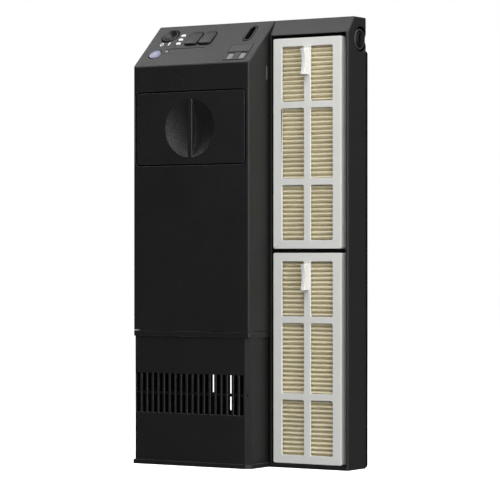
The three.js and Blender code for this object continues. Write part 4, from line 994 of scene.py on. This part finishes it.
def makeDrawerFront():
    low, high = boxOf("drawer_front")
    tray = boxOf("drawer_tray")[0]
    v = drawerValues
    middleX, middleZ = (low.x + high.x) / 2, (low.z + high.z) / 2
    dishRadius = (high.z - low.z) / 2 - v["dishMargin"]
    bowlRadius = (dishRadius ** 2 + v["dishDepth"] ** 2) / (2 * v["dishDepth"])
    bowlY = low.y + v["dishDepth"] - bowlRadius
    panel = roundedBox("drawerFront", low, (high.x, low.y + v["thick"], high.z), v["corner"], "y", 8)
    bevelEdges(panel, lambda a, b: max(a.y, b.y) < low.y + 0.001, v["edge"], 3)
    backing = ball("backing", bowlRadius + v["shell"], (middleX, bowlY, middleZ), 128, 128, "y")
    keepInside(backing, rod("sleeve", dishRadius + v["shell"], low.y + 0.8, low.y + 9, (middleX, middleZ),
                            "y", 128))
    joinWith(panel, backing)
    cutWith(panel, bowlCutter(bowlRadius, bowlY, dishRadius, low.y, middleX, middleZ))
    rib = roundedBox("rib", (middleX - v["rib"] / 2, low.y, middleZ - dishRadius - 0.4),
                     (middleX + v["rib"] / 2, low.y + v["dishDepth"] + 0.6, middleZ + dishRadius + 0.4))
    bevelEdges(rib, lambda a, b: max(a.y, b.y) < low.y + 0.001 and abs(a.z - b.z) > 10, v["ribEdge"], 4)
    keepInside(rib, ball("bowl", bowlRadius + 0.8, (middleX, bowlY, middleZ), 128, 128, "y"))
    joinWith(panel, rib)
    for side in (-1, 1):
        x = middleX + side * (dishRadius + v["stemOut"]) - (8 if side > 0 else 0)
        joinWith(panel, rod("stem", v["stem"], low.y + v["thick"] - 0.5, tray.y - 0.3, (x, middleZ), "y", 32))
    smoothShade(panel, 25)
    fit(panel, "media_drawer", "casePlastic", "casing", "drawer_front")
    # the panel's side walls lie in the unlit gap
    panel.data.materials.append(materials["shadowPlastic"])
    for face in panel.data.polygons:
        at = face.center / mm
        rim = min(at.x - low.x, high.x - at.x, at.z - low.z, high.z - at.z)
        face.material_index = int(rim < v["gapSkin"] and at.y > low.y + v["edge"])


def bowlCutter(bowlRadius, bowlY, dishRadius, faceY, middleX, middleZ):
    # the dish's hollow with a rounded rim: rings drawn outwards from the bottom, then out over the face
    v = drawerValues
    rimAngle = math.asin(dishRadius / bowlRadius)
    profile = [(bowlRadius * math.sin(rimAngle * i / 16), bowlY + bowlRadius * math.cos(rimAngle * i / 16))
               for i in range(1, 16)]
    rimStart = dishRadius - v["rim"] * math.tan(rimAngle / 2) * 1.2
    for i in range(0, 6):
        lean = rimAngle * (1 - i / 5)
        profile.append((rimStart + v["rim"] * (math.sin(rimAngle) - math.sin(lean)) + 0.12,
                        faceY + v["rim"] * (1 - math.cos(lean))))
    profile.append((profile[-1][0] + 0.3, faceY - 0.02))
    profile.append((profile[-1][0], faceY - 3))
    bpy.ops.mesh.primitive_circle_add(vertices=128, radius=profile[0][0], fill_type="NGON",
                                      location=(middleX, profile[0][1], middleZ),
                                      rotation=(math.pi / 2, 0, 0))
    cutter = bpy.context.object
    applyPlace(cutter)
    startEdit(cutter)
    bpy.ops.mesh.select_all(action="SELECT")
    for (radius, y), (nextRadius, nextY) in zip(profile, profile[1:]):
        bpy.ops.mesh.extrude_region_move(TRANSFORM_OT_translate={"value": (0, nextY - y, 0)})
        share = nextRadius / radius
        bpy.ops.transform.resize(value=(share, 1, share), center_override=(middleX, nextY, middleZ))
    bpy.ops.mesh.select_all(action="SELECT")
    bpy.ops.mesh.normals_make_consistent(inside=False)
    endEdit()
    return cutter


makeDrawerFront()
print("drawer front made")

# cartridges

cartridgeValues = {"corner": 1.2, "face": 1.6, "side": 6.8, "end": 5.7, "bar": 4.5, "spine": 5.2,
                   "endShare": 0.784,
                   "windowCorner": 1.0, "skirt": 1.8, "edge": 0.45, "finHeight": 17.6, "finThick": 3.0,
                   "finReach": 6.5,
                   "finDrop": 1.6, "pitch": 3.05, "paper": 0.45, "foldRound": 0.22, "ripple": 0.25,
                   "rippleScale": 12, "columns": 36, "foldAngle": 50}


def makeFrame(which):
    v = cartridgeValues
    low, high = boxOf(f"{which}_cartridge_frame")
    face = low.y + v["finReach"]
    height, middleX = high.z - low.z, (low.x + high.x) / 2
    piece = roundedBox(f"{which}CartridgeFrame", (low.x, face, low.z), high, v["corner"], "y", 6)
    pocket = roundedBox("pocket", (low.x + v["skirt"], face + v["face"], low.z + v["skirt"]),
                        (high.x - v["skirt"], high.y + 1, high.z - v["skirt"]), 0.8, "y", 3)
    cutWith(piece, pocket)
    room = height - 2 * v["end"] - 2 * v["bar"]
    middleRow = room / (1 + 2 * v["endShare"])
    endRow = middleRow * v["endShare"]
    rows = [(v["end"], endRow), (v["end"] + endRow + v["bar"], middleRow),
            (v["end"] + endRow + 2 * v["bar"] + middleRow, endRow)]
    columns = [(low.x + v["side"], middleX - v["spine"] / 2), (middleX + v["spine"] / 2, high.x - v["side"])]
    for x0, x1 in columns:
        for z, tall in rows:
            cutWith(piece, roundedBox("window", (x0, face - 1, low.z + z),
                                      (x1, face + v["face"] + 1, low.z + z + tall),
                                      v["windowCorner"], "y", 5))
    finTop = high.z - v["end"] - v["finDrop"]
    fin = roundedBox("fin", (middleX - v["finThick"] / 2, low.y, finTop - v["finHeight"]),
                     (middleX + v["finThick"] / 2, face + 0.8, finTop))
    hollow = rod("hollow", 26, middleX - 5, middleX + 5, (low.y - 24.3, finTop - v["finHeight"] / 2), "x",
                 160)
    cutWith(fin, hollow)
    joinWith(piece, fin)
    softenEdges(piece, v["edge"], 3, 40)
    smoothShade(piece)
    return fit(piece, f"{which}_cartridge", "whitePlastic", "white_plastic", f"{which}_cartridge_frame")


def makePleats(which):
    v = cartridgeValues
    low, high = boxOf(f"{which}_pleat_pack")
    folds = round((high.z - low.z) / v["pitch"])
    rows = 2 * folds
    near, far = low.y + v["paper"] / 2 + 0.1, high.y - v["paper"] / 2 - 0.1
    bpy.ops.mesh.primitive_grid_add(x_subdivisions=v["columns"], y_subdivisions=rows, size=1,
                                    rotation=(math.pi / 2, 0, 0),
                                    location=((low.x + high.x) / 2, near, (low.z + high.z) / 2))
    piece = bpy.context.object
    piece.name = f"{which}PleatPack"
    piece.scale = (high.x - low.x, high.z - low.z, 1)
    applyPlace(piece)
    step = (high.z - low.z) / rows
    rowOf = lambda z: round((z - low.z) / step)
    pickVerts(piece, lambda co: rowOf(co.z) % 2 == 0)
    bpy.ops.transform.translate(value=(0, far - near, 0))
    endEdit()
    bevelEdges(piece, lambda a, b: abs(a.z - b.z) < 0.001 and 0 < rowOf(a.z) < rows, v["foldRound"], 3)
    texture = bpy.data.textures.new(f"{which}Ripple", "CLOUDS")
    texture.noise_scale = v["rippleScale"]
    applyModifier(piece, "DISPLACE", texture=texture, texture_coords="LOCAL", direction="Z",
                  strength=v["ripple"] * 2, mid_level=0.5)
    applyModifier(piece, "SOLIDIFY", thickness=v["paper"], offset=0)
    selectOnly(piece)
    bpy.ops.object.shade_smooth_by_angle(angle=math.radians(v["foldAngle"]))
    return fit(piece, f"{which}_cartridge", "pleatPaper", "pleat_paper", f"{which}_pleat_pack")


for which in ("upper", "lower"):
    makeFrame(which)
    makePleats(which)
print("cartridges made")

# pieces on the deck


def fitDeck(piece, body, materialName, slotName, nodeName, angle=40):
    smoothShade(piece, angle)
    return fit(piece, body, materialName, slotName, nodeName)


def makeDial():
    # a dished knob with a broad rounded rim
    v = deckValues
    radius, rimTop = v["dialRadius"], 0.7
    rim = [(-0.8 * (1 - math.cos(t)), rimTop - 0.8 * (1 - math.sin(t)))
           for t in [math.pi / 8 * i for i in range(5)]]
    fall = [(-0.95, rimTop - 0.04), (-1.15, rimTop - 0.2), (-1.3, rimTop - 0.5)]
    bowl = [(-1.3 - i * 0.48, rimTop - 0.5 - 3.2 * math.sin(math.pi / 2 * i / 10)) for i in range(1, 10)]
    steps = [(1.6 - radius, -6.6), (1.6 - radius, -5.6), (-0.2, -5.6), (0, -5.4)] + rim + fall + bowl
    dial = shaped("flowDial", dialAt, [radius] * 2, None, steps, deckFrame, 72)
    return fitDeck(dial, "dial", "deckPlastic", "deck_parts", "flow_dial")


def makeKeys():
    v = deckValues
    for name, body, x in (("leftKey", "key_left", v["keys"][0]), ("rightKey", "key_right", v["keys"][1])):
        rise = v["keyRise"]
        steps = crownSteps(-3.4, rise - 0.35, 0.75, 5) + [(-2.2, rise - 0.16), (-3.6, rise - 0.04),
                                                          (-4.7, rise)]
        key = shaped(name, (x, keyUp), v["keyHalf"], v["keyCorner"], steps, None, 48, 8)
        pickVerts(key, lambda co: co.z > 0)
        far = (x, keyUp - v["keyHalf"][1], 0)
        bpy.ops.transform.rotate(value=math.radians(v["keyTilt"]), orient_axis="X", center_override=far)
        endEdit()
        key.matrix_world = deckFrame
        applyPlace(key)
        fitDeck(key, body, "deckPlastic", "deck_parts",
                {"leftKey": "left_key", "rightKey": "right_key"}[name])


def makeLamps():
    v = deckValues
    dome = crownSteps(-3, 0.45, 0.4, 4) + [(-0.9, 0.62), (-1.6, 0.82), (-2.5, 0.98), (-3.6, 1.07),
                                           (-4.7, 1.1)]
    lens = shaped("indicatorLens", v["lens"], [v["lensRadius"]] * 2, None, dome, deckFrame, 64)
    fitDeck(lens, "casing", "lensGlow", "lens", "indicator_lens")
    status = shaped("statusLight", v["status"], v["statusHalf"], 0.35, crownSteps(-3, 0.3, 0.3), deckFrame)
    fitDeck(status, "casing", "statusGlow", "light", "status_light")
    for i, place in enumerate(levelPlaces):
        level = shaped(f"levelLight{i + 1}", place, v["levelHalf"], 0.35, crownSteps(-3, 0.4, 0.3), deckFrame)
        fitDeck(level, "casing", "levelGlow", "light", f"level_light_{i + 1}")


def makeStatusPanel():
    v = deckValues
    steps = crownSteps(-v["panelDeep"], 0.2, 0.25, 3)
    bezel = shaped("statusBezel", panelAt, v["panelHalf"], 0.6, steps, deckFrame)
    windows = [shaped("window", place, v["paneHalf"], 0.4, [(0, -3)] + lifted(holeSteps(1, 0.3), 0.2),
                      deckFrame)
               for place in panePlaces]
    grooves = [shaped("groove", (panelAt[0], v["panelUp"] + up), (8.2, 0.4), 0.2,
                      lifted(holeSteps(0.5, 0.15), 0.2),
                      deckFrame) for up in v["grooves"]]
    cutWith(bezel, joinAll(windows + grooves))
    fitDeck(bezel, "casing", "deckPlastic", "deck_parts", "status_bezel")
    for name, nodeName, place in (("rightPane", "right_pane", panePlaces[0]),
                                  ("leftPane", "left_pane", panePlaces[1])):
        pane = shaped(name, place, grown(v["paneHalf"], -0.3), 0.3, crownSteps(-1, -0.05, 0.25, 3), deckFrame)
        fitDeck(pane, "casing", "paneGlass", "pane", nodeName)


def makeCableLining():
    v = deckValues
    half, corner = grown(v["cableHalf"], 1), v["cableHalf"][0] + 1
    lining = shaped("cableSlotLining", cableAt, half, corner - 0.02, crownSteps(-4, 0.2, 0.45), deckFrame, 48,
                    8)
    hole = shaped("hole", cableAt, v["cableHalf"], v["cableHalf"][0] - 0.02, lifted(holeSteps(7, 0.3), 0.2),
                  deckFrame, 48, 8)
    cutWith(lining, hole)
    fitDeck(lining, "casing", "deckPlastic", "rubber", "cable_slot_lining")
    lining.data.materials.append(materials["shadowPlastic"])
    for face in lining.data.polygons:
        face.material_index = int(face.normal.dot(Vector(towerSlope["normal"])) < 0.5)


def makeMarks():
    # a printed ring and a bar beside the dial, and the pale tab in the tower's side
    v = deckValues
    half, line, rise = v["markHalf"], v["markLine"], v["markRise"]
    ring = shaped("offMark", v["zero"], half, half[0] - 0.02, [(0, -0.02), (0, rise - 0.02), (-0.02, rise)],
                  deckFrame, 48, 8)
    cutWith(ring, shaped("hole", v["zero"], grown(half, -line), half[0] - line - 0.02, [(0, -1), (0, 1)],
                         deckFrame, 48, 8))
    bar = shaped("onMark", v["one"], (line * 0.8, half[1]), 0.15,
                 [(0, -0.02), (0, rise - 0.02), (-0.02, rise)], deckFrame)
    for piece in (ring, bar):
        smoothShade(piece, 40)
        fit(piece, "casing", "whitePaint", "white_plastic")
    t = towerValues
    middle = (towerLow.y + t["slotY"], t["slotLow"] + t["slotHalf"][1])
    tab = shaped("sideTab", middle, (0.5, t["slotHalf"][1] - 0.1), 0.2, crownSteps(-1.15, -0.1, 0.25),
                 towerSideFrame)
    smoothShade(tab, 40)
    fit(tab, "casing", "tabPlastic", "white_plastic")


makeDial()
makeKeys()
makeLamps()
makeStatusPanel()
makeCableLining()
makeMarks()
print("deck pieces made")

# outlet and screws

outletValues = {"ringOut": 8.1, "ringIn": 7.4, "ringTop": -2.6, "collarOut": 6.9, "collarIn": 5.9,
                "collarTop": -0.7,
                "ballOut": 5.5, "ballIn": 3.7, "slotHalf": (1.3, 3.4), "pin": 0.9}


def boredSteps(outer, inner, low, high, edge):
    # a tube's profile about an outer radius, up its outside, over its lip and down its bore
    inset = inner - outer
    lip = crownSteps(low, high, edge, 5)
    return lip + [(inset + 0.25, high), (inset + 0.07, high - 0.07), (inset, high - 0.25), (inset, low + 2)]


def makeOutlet():
    v = outletValues
    centre = outletPlace[1:]
    depth = ringLow.x - housingHigh.x
    ring = shaped("outletRing", centre, [v["ringOut"]] * 2, None,
                  boredSteps(v["ringOut"], v["ringIn"], depth, v["ringTop"],
                             0.3)[:-1] + [(v["ringIn"] - v["ringOut"], depth + 2)],
                  sideFrame, 80)
    flange = rod("flange", ductRadius + 0.4, ringLow.x - 0.01, ringLow.x + 2, centre, "x", 48)
    joinWith(ring, flange)
    cutWith(ring, rod("bore", ductRadius - 1.5, ringLow.x - 1, housingHigh.x, centre, "x", 48))
    smoothShade(ring, 40)
    fit(ring, "casing", "shadowPlastic", "casing", "outlet_ring")
    low = boxOf("outlet_collar")[0].x - housingHigh.x
    collar = shaped("outletCollar", centre, [v["collarOut"]] * 2, None,
                    boredSteps(v["collarOut"], v["collarIn"], low, v["collarTop"], 0.6), sideFrame, 80)
    cutWith(collar, rod("bore", v["collarIn"], housingHigh.x + low - 1, housingHigh.x - 3, centre, "x", 80),
            rod("pinHole", v["pin"] + 0.3, centre[1] - 9, centre[1] + 9,
                (housingHigh.x - v["ballIn"], centre[0]), "z", 24))
    smoothShade(collar, 40)
    # the collar's lighter grey stands partly for a painted highlight round the outlet
    fit(collar, "collar", "nozzlePlastic", "inner_plastic", "outlet_collar")
    x = housingHigh.x - v["ballIn"]
    nozzle = ball("outletNozzle", v["ballOut"], (x, *centre), 64, 48, "x")
    keepInside(nozzle, plainBox("band", (x - v["ballOut"] * 0.8, centre[0] - 9, centre[1] - 9),
                                (housingHigh.x - 0.5, centre[0] + 9, centre[1] + 9)))
    joinWith(nozzle, rod("pins", v["pin"], centre[1] - v["collarIn"] - 0.5, centre[1] + v["collarIn"] + 0.5,
                         (x, centre[0]), "z", 24))
    slot = shaped("slot", centre, v["slotHalf"], 1.2, lifted(holeSteps(14, 0.4), -0.5), sideFrame, 48, 6)
    cutWith(nozzle, slot)
    smoothShade(nozzle, 40)
    fit(nozzle, "nozzle", "shadowPlastic", "resin", "outlet_nozzle")


screwValues = {"head": 2.8, "shank": 1.3, "length": 9.0, "sunk": 0.1, "cross": (1.8, 0.4), "crossDeep": 0.9}


def makeScrews():
    v = screwValues
    head = shaped("screwPattern", (0, 0), [v["head"]] * 2, None,
                  [(v["shank"] - v["head"], -v["length"] - 1.5), (v["shank"] - v["head"], -1.5), (0, -1.5),
                   (0, -0.7),
                   (-0.25, -0.35), (-0.8, -0.18), (-1.6, -v["sunk"])], backFrame, 32)
    for half in (v["cross"], v["cross"][::-1]):
        cutWith(head, shaped("cross", (0, 0), half, 0.15, [(0, -v["crossDeep"]), (0.05, 1)], backFrame, 48,
                             2))
    smoothShade(head, 35)
    places = [place for group in screwPlaces() for place in group]
    for i, (x, z) in enumerate(places):
        screw = head.copy()
        screw.data = head.data.copy()
        screw.name = f"coverScrew{i + 1}"
        bpy.context.scene.collection.objects.link(screw)
        screw.location = (x, 0, z)
        applyPlace(screw)
        fit(screw, "casing", "polishedSteel", "steel", f"cover_screw_{i + 1}")
    bpy.data.objects.remove(head)


# foam and bonded media, as soft blocks with crowned sides

softValues = {"voxel": 1.1, "swell": 0.6, "swellScale": 9, "edge": 1.2, "shrink": 0.45}
softRows = {
    "prefilter_foam": {"name": "prefilterFoam", "material": "filterFoam", "slot": "foam", "body": "casing",
                       "fill": 0.8, "corner": 3.2},
    "media_block": {"name": "mediaBlock", "material": "mediaFoam", "slot": "media", "body": "media_drawer",
                    "fill": 0.7, "corner": 1.0},
}


def makeSoftBlock(nodeName, row):
    v = softValues
    low, high = boxOf(nodeName)
    piece = roundedBox(row["name"], [a + v["shrink"] for a in low], [b - v["shrink"] for b in high],
                       row["corner"], "z", 4)
    softenEdges(piece, v["edge"], 3, 60)
    applyModifier(piece, "REMESH", mode="VOXEL", voxel_size=v["voxel"])
    texture = bpy.data.textures.new(row["name"] + "Swell", "CLOUDS")
    texture.noise_scale = v["swellScale"]
    applyModifier(piece, "DISPLACE", texture=texture, texture_coords="LOCAL", strength=v["swell"],
                  mid_level=0.5)
    smoothShade(piece, 60)
    fit(piece, row["body"], row["material"], row["slot"], nodeName)


makeOutlet()
makeScrews()
for nodeName, row in softRows.items():
    makeSoftBlock(nodeName, row)
print("outlet, screws and soft blocks made")

# the rest of the CAD nodes keep their shape and get their finish

nodeFinish = {
    "sealRubber": ["key_membrane", "duct_seal", "drawer_seal", "upper_cartridge_seal",
                   "lower_cartridge_seal"],
    "innerPlastic": ["dial_encoder", "drawer_cradle", "crossover_sleeve", "foam_grid", "pump_volute",
                     "volute_cover",
                     "pump_bracket", "riser_pipe", "outlet_duct", "drawer_tray", "impeller"],
    "circuitBoard": ["control_board"],
    "pottingResin": ["motor_block"],
    "ferriteMagnet": ["rotor_magnet"],
    "bushCeramic": ["lower_bush", "upper_bush"],
    "polishedSteel": ["rotor_shaft"],
}
for materialName, names in nodeFinish.items():
    for nodeName in names:
        nodes[nodeName].data.materials.clear()
        nodes[nodeName].data.materials.append(materials[materialName])
print("CAD nodes finished")

# floor, world and lights

stageValues = {"floor": (0.9, 0.9, 0.9, 1), "bounce": 0.15, "lift": 0.95, "worldFront": 0.018,
               "worldBack": 0.15,
               "backdrop": 1.0}
lampValues = {
    "side": {"place": (1.14, -0.42, 0.38), "size": (1.3, 0.8), "power": 12.0},
    "front": {"place": (0.42, -0.86, 1.05), "size": (0.6, 0.6), "power": 9.5},
    "top": {"place": (-0.75, -0.12, 1.25), "size": (0.9, 0.9), "power": 8.5},
    "edge": {"place": (0.72, 0.14, 1.12), "size": (0.5, 0.5), "power": 6.0},
    "dish": {"place": (0.58, -1.30, 0.30), "size": (0.3, 0.5), "power": 2.5},
}


def makeFloor():
    bpy.ops.mesh.primitive_plane_add(size=12, location=(0, 0, 0))
    floor = bpy.context.object
    floor.name = "floor"
    material, tree, shader = startMaterial("paleFloor", Roughness=0.9, Specular_IOR_Level=0.1,
                                                   Emission_Strength=stageValues["lift"])[:3]
    seen = addNode(tree, "LightPath").outputs["Is Camera Ray"]
    feed(tree, shader, Base_Color=mixColours(tree, seen, grey(stageValues["bounce"]), stageValues["floor"]),
         Emission_Color=mixColours(tree, seen, (0, 0, 0, 1), (1, 1, 1, 1)))
    floor.data.materials.append(material)


def makeWorld():
    world = bpy.data.worlds.new("studio")
    bpy.context.scene.world = world
    world.use_nodes = True
    tree = world.node_tree
    tree.nodes.clear()
    seen = addNode(tree, "LightPath").outputs["Is Camera Ray"]
    direction = addNode(tree, "TexCoord").outputs["Generated"]
    depth = addNode(tree, "SeparateXYZ", None, Vector=direction).outputs["Y"]
    level = rangeNode(tree, depth, 0.1, 0.8, stageValues["worldFront"], stageValues["worldBack"])
    colour = mixColours(tree, seen, addNode(tree, "CombineColor", None, Red=level, Green=level,
                                            Blue=level).outputs["Color"],
                        grey(stageValues["backdrop"]))
    background = addNode(tree, "Background", None, Color=colour)
    output = tree.nodes.new("ShaderNodeOutputWorld")
    tree.links.new(background.outputs["Background"], output.inputs["Surface"])


def makeLamp(name, values):
    place = Vector(values["place"])
    aim = (Vector((0, 0, 0.15)) - place).to_track_quat("-Z", "Y")
    bpy.ops.object.light_add(type="AREA", location=place, rotation=aim.to_euler())
    lamp = bpy.context.object
    lamp.name = name + "Lamp"
    lamp.data.shape = "RECTANGLE"
    lamp.data.size, lamp.data.size_y = values["size"]
    lamp.data.energy = values["power"]
    lamp.visible_camera = False


makeFloor()
makeWorld()
for name, values in lampValues.items():
    makeLamp(name, values)
bpy.context.scene.view_settings.view_transform = "Standard"
print("stage and lamps ready")
